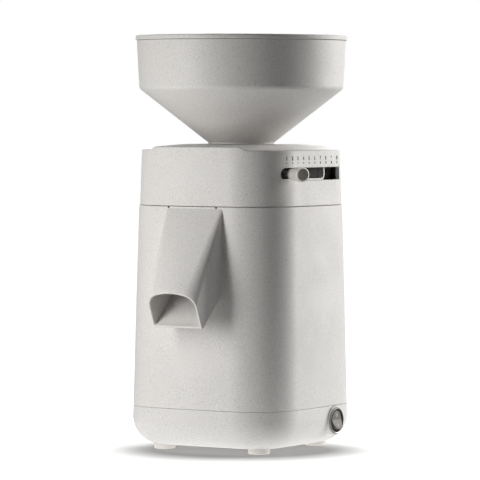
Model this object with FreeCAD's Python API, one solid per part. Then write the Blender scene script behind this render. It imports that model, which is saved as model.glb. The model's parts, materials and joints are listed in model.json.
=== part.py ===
import FreeCAD, Part
import math
import os

V = FreeCAD.Vector
UP = V(0, 0, 1)
HERE = V(0, 0, 0)

# Electric grain mill, in millimetres. The front, with the flour spout, looks towards -Y.
# Everything is modelled round the milling axis; save() then moves it so that the origin is the
# centre of the mill's footprint box on the table.

# Clearances
seam_gap = 0.5
seat_gap = 0.3
run_gap = 0.15
pin_gap = 0.05

# Cutting shapes run past the face they cut by over, or out to far, and those for one side wall
# start side_start from the axis; tiny tells equal heights from different ones
over = 1.0
far = 200.0
side_start = 60.0
tiny = 0.01

# Casing; a half width is measured from the axis to the middle of a side
foot_height = 4.5
tray_height = 35.0
housing_height = 181.0
head_height = 49.8
tray_half = 84.4
housing_top_half = 80.5
head_bottom_half = 80.0
head_top_half = 78.6
corner_radius = 46.0
side_bulge_radius = 900.0
wall = 3.0
tray_round = 25.5
lip_height = 4.0
lip_wall = 1.8
lip_shelf = 6.0

# Raised bridge from front to back across the top of the head
bridge_foot_half = 53.0
bridge_slope_run = 10.0
bridge_rise = 2.9
crown_rise = 2.1
crown_half = 30.0
roof_margin = 4.0
pocket_half = 60.0

# Feet, posts and vents
foot_spread = 50.0
foot_radius = 9.8
foot_recess = 1.2
foot_edge_round = 1.0
foot_sole = 1.6
post_radius = 5.5
boss_radius = 6.5
rib_wall = 2.5
rib_gap = 2.0
vent_count = 7
vent_pitch = 9.0
vent_width = 4.0
vent_length = 56.0

# Screws
screw_radius = 2.0
screw_head_radius = 3.8
screw_head_height = 2.2
small_screw_radius = 1.5
small_screw_head = 2.8
cross_share = 0.6
cross_width = 1.0
cross_depth = 1.0
foot_screw_grip = 14.0
head_screw_grip = 14.0
plate_screw_grip = 13.0

# Flour spout and duct; each drop is measured down from the top of the main housing
spout_root_half = 29.8
spout_root_drop = 0.9
spout_foot_drop = 76.6
spout_root_corner = 3.0
spout_root_crown = 600.0
spout_root_reach = 80.1
spout_half = 26.0
spout_lip_reach = 107.2
spout_lip_drop = 107.5
spout_apex_reach = 122.1
spout_apex_drop = 74.3
spout_corner = 14.0
spout_crown = 60.0
spout_wall = 2.5
spout_channel_half = 20.8
channel_top_drop = 15.0
channel_floor_drop = 72.5
spout_screw_x = 26.0
spout_screw_high_drop = 23.0
spout_screw_low_drop = 69.0
spout_screw_depth = 7.0
duct_wall = 2.0
duct_flange_half = 31.0
duct_flange_height = 2.5
duct_flange_lap = 2.0
duct_overlap = 4.0
duct_notch = 2.0

# Milling chamber and stones
stone_radius = 45.0
stone_height = 15.7
stone_gap = 0.3
chamber_rise = 1.0
gate_depth = 6.0
stone_eye = 14.5
bevel_radius = 31.0
bevel_shelf_radius = 20.0
bevel_depth = 5.5
furrow_count = 10
furrow_width = 3.0
furrow_depth = 1.2
furrow_offset = 9.0
furrow_lap = 3.0
chamber_radius = 53.5
chamber_wall = 3.5
chamber_floor = 4.0
chamber_flange = 64.5
chamber_rim = 61.0
chamber_screw_circle = 61.0
sweep_height = 12.0
sweep_width = 6.0
sweep_start_gap = 2.0
sweep_gap = 0.8
sweep_count = 3
hub_plate = 6.0
hub_margin = 1.0
key_drop = 4.0
key_depth = 4.0
key_width = 3.0
key_length = 12.0
collar_height = 3.7
shaft_seal_radius = 12.0
collar_wall = 4.0
seal_radius = 55.4
seal_width = 2.4
seal_height = 2.6
seal_squeeze_gap = 0.4

# Motor
plate_height = 6.0
plate_hole = 14.0
plate_margin = 2.5
shield_screw_circle = 34.0
core_radius = 48.0
core_bore = 26.5
core_height = 56.0
core_slots = 24
slot_depth = 11.0
slot_width = 3.6
coil_inner = 27.5
coil_outer = 39.0
coil_height = 13.0
coil_round = 3.0
air_gap = 0.5
end_ring_outer = 25.5
end_ring_inner = 17.0
end_ring_height = 6.0
shield_height = 30.0
shield_web = 6.0
shield_skirt = 6.5
shield_lip = 1.5
shield_window_width = 24.0
shield_window_height = 16.0
shield_window_drop = 2.0
shield_window_margin = 4.0
tie_circle = 44.5
tie_tip_drop = 12.0
shaft_radius = 7.5
shaft_foot_radius = 6.0
shaft_core_radius = 9.0
shaft_foot_drop = 2.0
shaft_tip_step = 1.0
shaft_tip_height = 11.0
upper_bearing_radius = 17.5
upper_bearing_width = 11.0
lower_bearing_radius = 16.0
lower_bearing_width = 10.0
race_wall = 2.8
bearing_shoulder = 2.0
bearing_cap = 1.5
hub_wall = 4.0
ball_count = 8
fan_radius = 42.0
fan_height = 13.0
fan_blades = 9
fan_drop = 4.3
fan_plate = 2.0
fan_hub_radius = 10.0
blade_wall = 1.6
blade_margin = 1.0
capacitor_radius = 13.5
capacitor_height = 62.0
capacitor_x = -64.5
capacitor_lift = 1.7
capacitor_round = 1.5
clip_wall = 1.5
clip_height = 8.0
clip_tab_half = 6.0
lead_radius = 1.3
lead_bend = 4.0
lead_entry = 8.5
lead_in_x = 34.0
lead_out_y = 8.0
lead_clear = 4.0
lead_neutral_run = 6.0
lead_pair_half = 4.0

# Head mechanism
head_plate_height = 4.0
head_plate_hole = 47.0
head_post_radius = 4.5
head_post_spread = 56.6
stud_radius = 2.0
stud_circle = 49.4
stud_height = 12.0
stud_count = 3
thread_radius = 52.0
thread_wall = 6.0
ring_foot_radius = 62.0
ring_foot_height = 3.0
ring_height = 14.0
drum_radius = 74.0
drum_wall = 3.0
drum_web = 3.0
drum_height = 22.0
retainer_radius = 67.0
retainer_height = 3.0
retainer_screw_circle = 64.7
retainer_screw_rest = 1.2
holder_radius = 46.0
holder_body = 8.5
holder_flange = 10.0
holder_pocket = 6.5
holder_rim = 4.0
holder_eye_lip = 5.0
stone_screw_grip = 7.5
feed_tube_radius = 18.6
feed_tube_wall = 2.5
feed_tube_height = 7.5
feed_tube_foot = 2.0
feed_washer_height = 2.8
feed_barrel_radius = 10.0
feed_height = 13.4
feed_chamfer = 3.0
feed_vane_wall = 2.8
feed_vane_count = 2
holder_screw_circle = 34.0
rail_wall = 1.2
rail_rise = 1.7
rail_depth = 4.0
rail_overlap = 2.0

# Setting lever; angles are measured from the front towards +X
lever_rest_deg = 62.0
slot_start_deg = 58.0
slot_end_deg = 120.7
rail_start_deg = 56.0
rail_end_deg = 105.1
rail_stop_deg = 1.2
slot_half_height = 5.7
lever_drop = 21.1
stem_radius = 3.0
stem_head_radius = 3.8
stem_head_height = 4.0
stem_head_gap = 0.6
stem_grip = 11.0
knob_inner_radius = 4.9
knob_outer_radius = 6.6
knob_start = 88.5
knob_length = 19.5
knob_chamfer = 0.8
cap_radius = 5.3
cap_height = 1.2

# Hopper and lid
hopper_top_radius = 95.2
hopper_shoulder_radius = 92.8
hopper_wall = 2.5
hopper_height = 94.1
hopper_shoulder_height = 50.4
hopper_round = 6.0
cone_foot_radius = 28.4
neck_radius = 26.5
neck_collar_radius = 30.0
neck_collar_height = 1.8
neck_depth = 26.0
neck_chamfer = 4.0
socket_wall = 3.0
socket_depth = 12.3
tip_radius = 18.0
tip_height = 9.0
guard_depth = 3.0
guard_height = 3.0
guard_bars = 3
guard_rim = 2.2
guard_bar_width = 2.4
oring_radius = 0.75
oring_depth = 14.0
lid_overhang = 1.0
lid_height = 4.3
lid_round = 1.5
lid_spigot_height = 4.0
lid_spigot_wall = 2.0

# Power switch, cord gland and terminal block
switch_z = 26.0
switch_y = 25.5
switch_face = 86.0
switch_collar_radius = 14.5
switch_collar_depth = 20.0
switch_bezel_radius = 12.0
switch_bezel_height = 1.4
switch_bezel_round = 0.6
switch_barrel_radius = 10.6
switch_barrel_depth = 20.0
switch_well_radius = 9.2
switch_well_depth = 8.0
rocker_radius = 8.5
rocker_back = 3.0
rocker_face = 2.2
rocker_tilt_deg = 11.0
pivot_radius = 1.2
pivot_depth = 1.5
axle_end_gap = 0.6
terminal_length = 8.0
terminal_width = 4.8
terminal_sheet = 0.8
terminal_spread = 5.0
gland_x = -34.0
gland_z = 24.0
gland_face = 85.6
gland_bore = 3.6
gland_radius = 6.2
gland_boss_radius = 11.0
gland_flange_radius = 8.6
gland_flange_height = 2.6
gland_depth = 15.0
block_length = 24.0
block_width = 13.0
block_height = 12.0
block_y = 44.0
block_poles = 3
pit_radius = 2.2
pit_depth = 3.0

# Levels worked out from the heights
tray_top = foot_height + tray_height
housing_bottom = tray_top + seam_gap
housing_top = housing_bottom + housing_height
head_bottom = housing_top + seam_gap
shoulder_z = head_bottom + head_height
tray_floor_top = foot_height + wall
spout_root_top = housing_top - spout_root_drop
spout_root_bottom = housing_top - spout_foot_drop
spout_lip_z = housing_top - spout_lip_drop
spout_apex_z = housing_top - spout_apex_drop
channel_top = housing_top - channel_top_drop
channel_floor = housing_top - channel_floor_drop
chamber_top = housing_top + chamber_rise
head_plate_bottom = chamber_top + seal_height + seal_squeeze_gap
head_plate_top = head_plate_bottom + head_plate_height
upper_stone_bottom = chamber_top - stone_height
lower_stone_top = upper_stone_bottom - stone_gap
lower_stone_bottom = lower_stone_top - stone_height
chamber_floor_top = lower_stone_bottom - sweep_height
chamber_bottom = chamber_floor_top - chamber_floor
plate_top = chamber_bottom
plate_bottom = plate_top - plate_height
core_top = plate_bottom - shield_height
core_bottom = core_top - core_height
shield_bottom = core_bottom - shield_height
upper_bearing_top = plate_bottom - bearing_cap
upper_bearing_bottom = upper_bearing_top - upper_bearing_width
lower_bearing_bottom = shield_bottom + bearing_cap
lower_bearing_top = lower_bearing_bottom + lower_bearing_width
fan_top = shield_bottom - fan_drop
fan_bottom = fan_top - fan_height
capacitor_z = core_bottom + capacitor_lift
clamp_bottom = lower_stone_top - bevel_depth + run_gap
lever_z = shoulder_z - lever_drop
ceiling_z = shoulder_z - wall
ring_bottom = head_plate_top + run_gap
web_bottom = ring_bottom + ring_height
hopper_seat = shoulder_z + bridge_rise + crown_rise
neck_bottom = hopper_seat - neck_depth
hopper_foot = hopper_seat + run_gap
hopper_top = hopper_seat + hopper_height
lid_bottom = hopper_top + seat_gap
knob_end = knob_start + knob_length
lid_radius = hopper_top_radius + lid_overhang
axis_y = (spout_apex_reach - lid_radius) / 2
lever_rest = math.radians(lever_rest_deg)
knob_reach = knob_end * math.sin(lever_rest) + (knob_outer_radius - knob_chamfer) * math.cos(lever_rest)
axis_x = (lid_radius - knob_reach) / 2


def wall_half(z):
    """Half width of the outside of the tray and main housing at a height."""
    share = (z - tray_top) / (housing_top - tray_top)
    return tray_half + share * (housing_top_half - tray_half)


def head_half(z):
    """Half width of the outside of the head at a height."""
    share = (z - head_bottom) / head_height
    return head_bottom_half + share * (head_top_half - head_bottom_half)


def plan_wire(half, corner, z):
    """Rounded square with slightly bulged sides: four side arcs and four corner arcs."""
    bulge = side_bulge_radius
    shift = half - bulge
    k = (shift + math.sqrt(2 * (bulge - corner) ** 2 - shift ** 2)) / 2
    turn = math.atan2(k, k - shift)
    tx = shift + bulge * math.cos(turn)
    ty = bulge * math.sin(turn)
    mid = k + corner / math.sqrt(2)
    edges = []
    for quarter in range(4):
        spin = FreeCAD.Rotation(UP, 90 * quarter)
        low = spin.multVec(V(tx, -ty, 0)) + V(0, 0, z)
        side = spin.multVec(V(half, 0, 0)) + V(0, 0, z)
        high = spin.multVec(V(tx, ty, 0)) + V(0, 0, z)
        turned_mid = spin.multVec(V(mid, mid, 0)) + V(0, 0, z)
        after = spin.multVec(V(ty, tx, 0)) + V(0, 0, z)
        edges.append(Part.Arc(low, side, high).toShape())
        edges.append(Part.Arc(high, turned_mid, after).toShape())
    return Part.Wire(edges)


def tower(z0, z1, half_of, inset=0.0):
    """Solid between two heights whose sides follow half_of, drawn in by inset."""
    low = plan_wire(half_of(z0) - inset, corner_radius - inset, z0)
    high = plan_wire(half_of(z1) - inset, corner_radius - inset, z1)
    return Part.makeLoft([low, high], True, True)


def band(z0, z1, half_of, outer_inset, inner_inset):
    """Wall that follows the casing, between two insets."""
    return tower(z0, z1, half_of, outer_inset).cut(tower(z0 - over, z1 + over, half_of, inner_inset))


def disc(r, z0, z1, x=0.0, y=0.0):
    return Part.makeCylinder(r, z1 - z0, V(x, y, z0), UP)


def ring(r_out, r_in, z0, z1, x=0.0, y=0.0):
    return disc(r_out, z0, z1, x, y).cut(disc(r_in, z0 - over, z1 + over, x, y))


def rod(r, start, end):
    run = end - start
    return Part.makeCylinder(r, run.Length, start, run)


def taper(r0, r1, start, end):
    run = end - start
    return Part.makeCone(r0, r1, run.Length, start, run)


def block(x0, x1, y0, y1, z0, z1):
    return Part.makeBox(x1 - x0, y1 - y0, z1 - z0, V(x0, y0, z0))


def spun(points):
    """Solid of revolution about the milling axis from an outline of (radius, height) points."""
    corners = [V(r, 0, z) for r, z in points]
    face = Part.Face(Part.makePolygon(corners + corners[:1]))
    return face.revolve(HERE, UP, 360)


def slab(points, half):
    """Prism across X, of an outline of (y, z) points, from -half to half."""
    corners = [V(-half, y, z) for y, z in points]
    face = Part.Face(Part.makePolygon(corners + corners[:1]))
    return face.extrude(V(2 * half, 0, 0))


def turned(shape, degrees, centre=HERE, axis=UP):
    copy = shape.copy()
    copy.rotate(centre, axis, degrees)
    return copy


def moved(shape, x=0.0, y=0.0, z=0.0):
    copy = shape.copy()
    copy.translate(V(x, y, z))
    return copy


def around(shape, count, first=0.0):
    return [turned(shape, first + 360.0 * i / count) for i in range(count)]


def corners_of(spread):
    return [(sx * spread, sy * spread) for sx in (-1, 1) for sy in (-1, 1)]


def on_circle(radius, count, first=0.0):
    angles = [math.radians(first + 360.0 * i / count) for i in range(count)]
    return [(radius * math.cos(a), radius * math.sin(a)) for a in angles]


def joined(shapes):
    whole = shapes[0]
    for shape in shapes[1:]:
        whole = whole.fuse(shape)
    return whole.removeSplitter()


def less(shape, cutters):
    for cutter in cutters:
        shape = shape.cut(cutter)
    return shape


def polar(radius, degrees, z):
    """Point at a radius and a lever angle, which runs from the front towards +X."""
    a = math.radians(degrees)
    return V(radius * math.sin(a), -radius * math.cos(a), z)


def sector(start_deg, end_deg, z0, z1):
    """Wedge between two lever angles."""
    first = polar(far, start_deg, z0)
    middle = polar(far, (start_deg + end_deg) / 2, z0)
    last = polar(far, end_deg, z0)
    centre = V(0, 0, z0)
    rim = Part.Arc(first, middle, last).toShape()
    edges = [Part.makeLine(centre, first), rim, Part.makeLine(last, centre)]
    return Part.Face(Part.Wire(edges)).extrude(V(0, 0, z1 - z0))


def screw_up(x, y, z_head, z_tip, radius=screw_radius, head_radius=screw_head_radius):
    """Screw whose head is below and whose shank points up."""
    head = disc(head_radius, z_head, z_head + screw_head_height, x, y)
    reach = head_radius * cross_share
    half = cross_width / 2
    arm = block(-reach, reach, -half, half, z_head - over, z_head + cross_depth)
    cross = arm.fuse(turned(arm, 90))
    shank = disc(radius, z_head + screw_head_height, z_tip, x, y)
    return head.cut(moved(cross, x, y)).fuse(shank).removeSplitter()


def screw_down(x, y, z_head, z_tip, radius=screw_radius, head_radius=screw_head_radius):
    """Screw whose head is above, its top at z_head, and whose shank points down."""
    upright = screw_up(0, 0, 0, z_head - z_tip, radius, head_radius)
    return moved(turned(upright, 180, HERE, V(1, 0, 0)), x, y, z_head)


def lead(points):
    """Insulated wire with straight runs and tangent bends."""
    bends = []
    for before, corner, after in zip(points, points[1:], points[2:]):
        back = before - corner
        on = after - corner
        back.normalize()
        on.normalize()
        half = back.getAngle(on) / 2
        run = lead_bend / math.tan(half)
        bisector = back + on
        bisector.normalize()
        middle = corner + bisector * (lead_bend / math.sin(half) - lead_bend)
        bends.append((corner + back * run, middle, corner + on * run))
    edges = []
    at = points[0]
    for start, middle, end in bends:
        edges.append(Part.makeLine(at, start))
        edges.append(Part.Arc(start, middle, end).toShape())
        at = end
    edges.append(Part.makeLine(at, points[-1]))
    path = Part.Wire(edges)
    section = Part.Wire([Part.makeCircle(lead_radius, points[0], points[1] - points[0])])
    return path.makePipeShell([section], True, False)


def save(name, *shapes):
    solids = []
    for shape in shapes:
        solids += shape.Solids
    group = Part.Compound([moved(solid, axis_x, axis_y) for solid in solids])
    os.makedirs("parts", exist_ok=True)
    group.exportStep("parts/%s.step" % name)


# Base tray

def tray_form(inset):
    """The tray's outer form, or its hollow when drawn in by the wall."""
    low = foot_height + inset
    high = tray_top + (lip_shelf if inset else 0.0)
    solid = tower(low, high, wall_half, inset)
    bottom = [e for e in solid.Edges if e.BoundBox.ZMax < low + tiny]
    return solid.makeFillet(tray_round - inset, bottom)


def make_tray():
    centre_line = V(0, switch_y, switch_z)
    collar = rod(switch_collar_radius, centre_line + V(switch_face - switch_collar_depth, 0, 0),
                 centre_line + V(switch_face, 0, 0))
    gland_line = V(gland_x, 0, gland_z)
    boss_start = gland_line + V(0, gland_face - gland_depth, 0)
    boss = rod(gland_boss_radius, boss_start, gland_line + V(0, gland_face, 0))
    wells = collar.fuse(boss).cut(disc(far, tray_top, tray_top + far))
    solid = tray_form(0.0).fuse(wells).cut(tray_form(wall).cut(wells))
    lip = band(tray_top - lip_shelf, tray_top + lip_height, wall_half, wall + seat_gap, wall + lip_wall)
    shelf = band(tray_top - lip_shelf, tray_top, wall_half, wall / 2, wall + lip_wall)
    bosses = [disc(boss_radius, foot_height + wall / 2, tray_top, x, y) for x, y in corners_of(foot_spread)]
    solid = joined([solid, lip, shelf] + bosses)
    cuts = [disc(screw_radius + pin_gap, 0, tray_top + over, x, y) for x, y in corners_of(foot_spread)]
    cuts += [disc(foot_radius + pin_gap, 0, foot_height + foot_recess, x, y)
             for x, y in corners_of(foot_spread)]
    for i in range(vent_count):
        x = (i - (vent_count - 1) / 2) * vent_pitch
        half = vent_width / 2
        cuts.append(block(x - half, x + half, -vent_length / 2, vent_length / 2, 0, tray_floor_top + over))
    hole = switch_barrel_radius + pin_gap
    cuts.append(rod(hole, centre_line + V(side_start, 0, 0), centre_line + V(far, 0, 0)))
    cuts.append(rod(gland_radius + pin_gap, gland_line + V(0, side_start, 0), gland_line + V(0, far, 0)))
    return less(solid, cuts)


def make_feet():
    top = foot_height + foot_recess
    feet = []
    for x, y in corners_of(foot_spread):
        pad = disc(foot_radius, 0, top, x, y)
        rim = [e for e in pad.Edges if e.BoundBox.ZMax < tiny]
        pad = pad.makeFillet(foot_edge_round, rim)
        pad = pad.cut(disc(screw_head_radius + seat_gap, -over, top - foot_sole, x, y))
        feet.append(pad.cut(disc(screw_radius + pin_gap, 0, top + over, x, y)))
    return feet


def make_foot_screws():
    head = foot_height + foot_recess - foot_sole - screw_head_height
    return [screw_up(x, y, head, housing_bottom + foot_screw_grip) for x, y in corners_of(foot_spread)]


# Main housing, with its posts and the opening behind the spout

def spout_screw_spots():
    levels = (housing_top - spout_screw_low_drop, housing_top - spout_screw_high_drop)
    return [(x, z) for x in (-spout_screw_x, spout_screw_x) for z in levels]


def spout_screw_holes():
    """Clearance holes through what lies between the heads and the spout."""
    radius = small_screw_radius + seat_gap
    return [rod(radius, V(x, -side_start, z), V(x, -far, z)) for x, z in spout_screw_spots()]


def make_housing():
    shell = band(housing_bottom, housing_top, wall_half, 0.0, wall)
    lip_inset = wall + seam_gap + (housing_top_half - head_bottom_half)
    lip_foot = housing_top - lip_shelf
    lip = band(lip_foot, housing_top + lip_height / 2, wall_half, lip_inset, lip_inset + lip_wall)
    shelf = band(lip_foot, housing_top, wall_half, wall / 2, lip_inset + lip_wall)
    posts = []
    for x, y in corners_of(foot_spread):
        posts.append(disc(post_radius, housing_bottom, plate_bottom, x, y))
        rib = block(0, far, -rib_wall / 2, rib_wall / 2, tray_top + lip_height + rib_gap, plate_bottom)
        rib = moved(turned(rib, math.degrees(math.atan2(y, x))), x, y)
        posts.append(rib.common(tower(housing_bottom, housing_top, wall_half, wall / 2)))
    solid = joined([shell, lip, shelf] + posts)
    half = spout_channel_half
    cuts = [block(-half, half, -far, -side_start, channel_floor, channel_top)]
    hole = screw_radius + pin_gap
    cuts += [disc(hole, 0, housing_bottom + foot_screw_grip + over, x, y) for x, y in corners_of(foot_spread)]
    cuts += [disc(hole, plate_bottom - plate_screw_grip, plate_top, x, y) for x, y in corners_of(foot_spread)]
    return less(solid, cuts + spout_screw_holes())


# Flour spout: a square root on the housing that narrows to an arched mouth

def arch_wire(half, height, corner, crown, place):
    """Flat floor, straight sides, round shoulders and a crowned top, set in a plane by place(x, h)."""
    centre = height - crown
    x = half - corner
    rise = math.sqrt((crown - corner) ** 2 - x ** 2)
    h = centre + rise
    lean = math.atan2(x, rise)
    join_x = crown * math.sin(lean)
    join_h = centre + crown * math.cos(lean)
    middle = (lean + math.pi / 2) / 2
    mid_x = x + corner * math.sin(middle)
    mid_h = h + corner * math.cos(middle)
    edges = [Part.makeLine(place(-half, 0), place(half, 0))]
    edges.append(Part.makeLine(place(half, 0), place(half, h)))
    edges.append(Part.Arc(place(half, h), place(mid_x, mid_h), place(join_x, join_h)).toShape())
    edges.append(Part.Arc(place(join_x, join_h), place(0, height), place(-join_x, join_h)).toShape())
    edges.append(Part.Arc(place(-join_x, join_h), place(-mid_x, mid_h), place(-half, h)).toShape())
    edges.append(Part.makeLine(place(-half, h), place(-half, 0)))
    return Part.Wire(edges)


def make_spout():
    foot = V(0, -spout_lip_reach, spout_lip_z)
    up = V(0, -spout_apex_reach, spout_apex_z) - foot
    mouth_height = up.Length
    up.normalize()
    out = V(0, -up.z, up.y)

    def at_mouth(x, h):
        return foot + up * h + V(x, 0, 0)

    def in_mouth(x, h):
        return foot + up * (h + spout_wall) + V(x, 0, 0)

    def at_root(x, h):
        return V(x, -spout_root_reach, spout_root_bottom + h)

    def in_root(x, h):
        return V(x, -spout_root_reach + wall, channel_floor + h)

    root_height = spout_root_top - spout_root_bottom
    root = arch_wire(spout_root_half, root_height, spout_root_corner, spout_root_crown, at_root)
    mouth = arch_wire(spout_half, mouth_height, spout_corner, spout_crown, at_mouth)
    form = Part.makeLoft([root, mouth], True, True)
    channel_root = arch_wire(spout_channel_half, channel_top - channel_floor, spout_root_corner,
                             spout_root_crown, in_root)
    inner_half = spout_half - spout_wall
    inner_height = mouth_height - 2 * spout_wall
    inner_corner = spout_corner - spout_wall
    channel_mouth = arch_wire(inner_half, inner_height, inner_corner, spout_crown - spout_wall, in_mouth)
    channel = Part.makeLoft([channel_root, channel_mouth], True, True)
    beyond = Part.Face(channel_mouth).extrude(out * over)
    solid = form.cut(channel.fuse(beyond))
    solid = solid.cut(tower(housing_bottom, housing_top, wall_half))
    small = small_screw_radius + pin_gap
    holes = []
    for x, z in spout_screw_spots():
        surface = wall_half(z)
        holes.append(rod(small, V(x, over - surface, z), V(x, -surface - spout_screw_depth - over, z)))
    return less(solid, holes)


def make_spout_screws():
    screws = []
    for x, z in spout_screw_spots():
        start = wall_half(z) - wall - duct_flange_height - 2 * seat_gap
        length = wall_half(z) + spout_screw_depth - start + screw_head_height
        screw = screw_down(0, 0, 0, -length, small_screw_radius, small_screw_head)
        screw = turned(screw, -90, HERE, V(1, 0, 0))
        screws.append(moved(screw, x, -start + screw_head_height, z))
    return screws


def make_duct():
    half = spout_channel_half
    inner_front = -wall_half(channel_floor) + wall / 2
    roof = channel_top
    back = -chamber_radius + duct_overlap
    sill = chamber_floor_top
    base = channel_floor
    drop = duct_wall * math.sqrt(2)
    outside = slab([(back, sill - drop), (back, roof + duct_wall), (inner_front, roof + duct_wall),
                    (inner_front, base - drop)], half + duct_wall)
    inside = slab([(back + over, sill), (back + over, roof), (inner_front - over, roof),
                   (inner_front - over, base - over), (inner_front, base), (back, sill)], half)
    low = base - duct_wall - duct_flange_lap
    high = roof + duct_wall + duct_flange_lap
    flange = band(low, high, wall_half, wall, wall + duct_flange_height)
    flange = flange.common(block(-duct_flange_half, duct_flange_half, -far, 0, low, high))
    solid = outside.common(tower(housing_bottom, housing_top, wall_half, wall))
    solid = joined([solid, flange]).cut(inside)
    solid = solid.cut(disc(chamber_radius + chamber_wall + seat_gap, chamber_bottom - far, chamber_top))
    return less(solid, spout_screw_holes())


# Motor plate and milling chamber

def chamber_screw_spots():
    return on_circle(chamber_screw_circle, 4, 45)


def shield_screw_spots():
    return on_circle(shield_screw_circle, 4)


def make_plate():
    solid = tower(plate_bottom, plate_top, wall_half, wall + plate_margin)
    notch = spout_channel_half + duct_wall + seat_gap
    low = plate_bottom - over
    high = plate_top + over
    cuts = [disc(plate_hole, low, high)]
    cuts.append(block(-notch, notch, -far, -chamber_radius + duct_notch, low, high))
    flange = duct_flange_half + seat_gap
    head_room = wall + duct_flange_height + screw_head_height + over
    cuts.append(block(-flange, flange, -far, -wall_half(plate_top) + head_room, low, high))
    hole = screw_radius + pin_gap
    spots = corners_of(foot_spread) + chamber_screw_spots() + shield_screw_spots()
    cuts += [disc(hole, low, high, x, y) for x, y in spots]
    sink = screw_head_radius + pin_gap
    cuts += [disc(sink, plate_top - screw_head_height, high, x, y) for x, y in shield_screw_spots()]
    return less(solid, cuts)


def make_chamber():
    outer = chamber_radius + chamber_wall
    solid = disc(outer, chamber_bottom, chamber_top)
    solid = solid.fuse(disc(chamber_flange, chamber_bottom, chamber_floor_top))
    solid = solid.fuse(disc(chamber_rim, chamber_top - chamber_floor, chamber_top))
    solid = solid.cut(disc(chamber_radius, chamber_floor_top, chamber_top + over))
    collar = disc(shaft_seal_radius + collar_wall, chamber_bottom, chamber_floor_top + collar_height)
    solid = solid.fuse(collar).removeSplitter()
    half = spout_channel_half
    low = chamber_bottom - over
    high = chamber_floor_top + over
    cuts = [disc(shaft_seal_radius, low, chamber_top)]
    cuts.append(block(-half, half, -far, -chamber_radius + gate_depth, chamber_floor_top, channel_top))
    notch = half + duct_wall + seat_gap
    front = ring(chamber_flange + over, outer, low, high)
    cuts.append(front.common(block(-notch, notch, -far, 0, low, high)))
    hole = screw_radius + pin_gap
    cuts += [disc(hole, low, high, x, y) for x, y in chamber_screw_spots()]
    return less(solid, cuts)


# Motor

def make_shield(upper):
    """Bearing cup, web and skirt of one end of the motor, drawn for the upper end."""
    top = plate_bottom if upper else 0.0
    radius = upper_bearing_radius if upper else lower_bearing_radius
    width = upper_bearing_width if upper else lower_bearing_width
    bearing_top = top - bearing_cap
    bearing_foot = bearing_top - width
    cup_foot = bearing_foot - bearing_shoulder
    skirt_foot = top - shield_height
    cover = radius - race_wall - shield_lip
    skirt_in = core_radius - shield_skirt
    outline = [(cover, cup_foot), (radius + hub_wall, cup_foot), (radius + hub_wall, top - shield_web),
               (skirt_in, top - shield_web), (skirt_in, skirt_foot), (core_radius, skirt_foot),
               (core_radius, top), (cover, top), (cover, bearing_top), (radius, bearing_top),
               (radius, bearing_foot), (cover, bearing_foot)]
    solid = spun(outline)
    half = shield_window_width / 2
    z1 = top - shield_web - shield_window_drop
    margin = shield_window_margin
    window = block(skirt_in - margin, core_radius + margin, -half, half, z1 - shield_window_height, z1)
    solid = less(solid, around(window, 4))
    grip = top - tie_tip_drop + 2 * over if upper else top + over
    hole = screw_radius + pin_gap
    bolts = [disc(hole, skirt_foot - over, grip, x, y) for x, y in on_circle(tie_circle, 4, 45)]
    if not upper:
        return moved(turned(less(solid, bolts), 180, HERE, V(1, 0, 0)), 0, 0, shield_bottom)
    web_foot = top - shield_web
    threads = [disc(hole, web_foot - over, top + over, x, y) for x, y in shield_screw_spots()]
    return less(solid, bolts + threads)


def make_core():
    solid = ring(core_radius, core_bore, core_bottom, core_top)
    half = slot_width / 2
    slot = block(core_bore - over, core_bore + slot_depth, -half, half, core_bottom - over, core_top + over)
    bolt = disc(screw_radius + pin_gap, core_bottom - over, core_top + over, tie_circle)
    return less(solid, around(slot, core_slots, 180 / core_slots) + around(bolt, 4, 45))


def make_windings():
    half = slot_width / 2 - pin_gap
    start = coil_inner + pin_gap
    bar = block(start, core_bore + slot_depth - pin_gap, -half, half, core_bottom - over, core_top + over)
    lower = ring(coil_outer, coil_inner, core_bottom - coil_height, core_bottom - pin_gap)
    upper = ring(coil_outer, coil_inner, core_top + pin_gap, core_top + coil_height)
    low_edge = [e for e in lower.Edges if e.BoundBox.ZMax < core_bottom - coil_height + tiny]
    high_edge = [e for e in upper.Edges if e.BoundBox.ZMin > core_top + coil_height - tiny]
    heads = [lower.makeFillet(coil_round, low_edge), upper.makeFillet(coil_round, high_edge)]
    return joined(heads + around(bar, core_slots, 180 / core_slots))


def make_tie_bolts():
    head = shield_bottom - screw_head_height
    return [screw_up(x, y, head, plate_bottom - tie_tip_drop) for x, y in on_circle(tie_circle, 4, 45)]


def outer_race(radius, z0, z1):
    return ring(radius, radius - race_wall, z0, z1)


def inner_race(radius, z0, z1):
    return ring(radius + race_wall, radius, z0, z1)


def make_balls():
    balls = []
    upper = (upper_bearing_radius, shaft_radius, upper_bearing_bottom, upper_bearing_top)
    lower = (lower_bearing_radius, shaft_foot_radius, lower_bearing_bottom, lower_bearing_top)
    for outer, inner, z0, z1 in (upper, lower):
        circle = (outer + inner) / 2
        radius = (outer - inner) / 2 - race_wall - pin_gap
        ball = Part.makeSphere(radius, V(circle, 0, (z0 + z1) / 2))
        balls += around(ball, ball_count)
    return balls


def make_shaft():
    foot = fan_bottom - shaft_foot_drop
    tip = clamp_bottom + shaft_tip_height
    thread_foot = clamp_bottom + shaft_tip_step
    solid = spun([(0, foot), (shaft_foot_radius, foot), (shaft_foot_radius, lower_bearing_top),
                  (shaft_core_radius, lower_bearing_top), (shaft_core_radius, upper_bearing_bottom),
                  (shaft_radius, upper_bearing_bottom), (shaft_radius, thread_foot),
                  (shaft_foot_radius, thread_foot), (shaft_foot_radius, tip), (0, tip)])
    return solid.cut(key_block(pin_gap))


def key_block(extra):
    low = lower_stone_bottom - key_drop
    deep = key_depth / 2 + extra
    wide = key_width / 2 + extra
    return block(shaft_radius - deep, shaft_radius + deep, -wide, wide, low, low + key_length)


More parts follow.
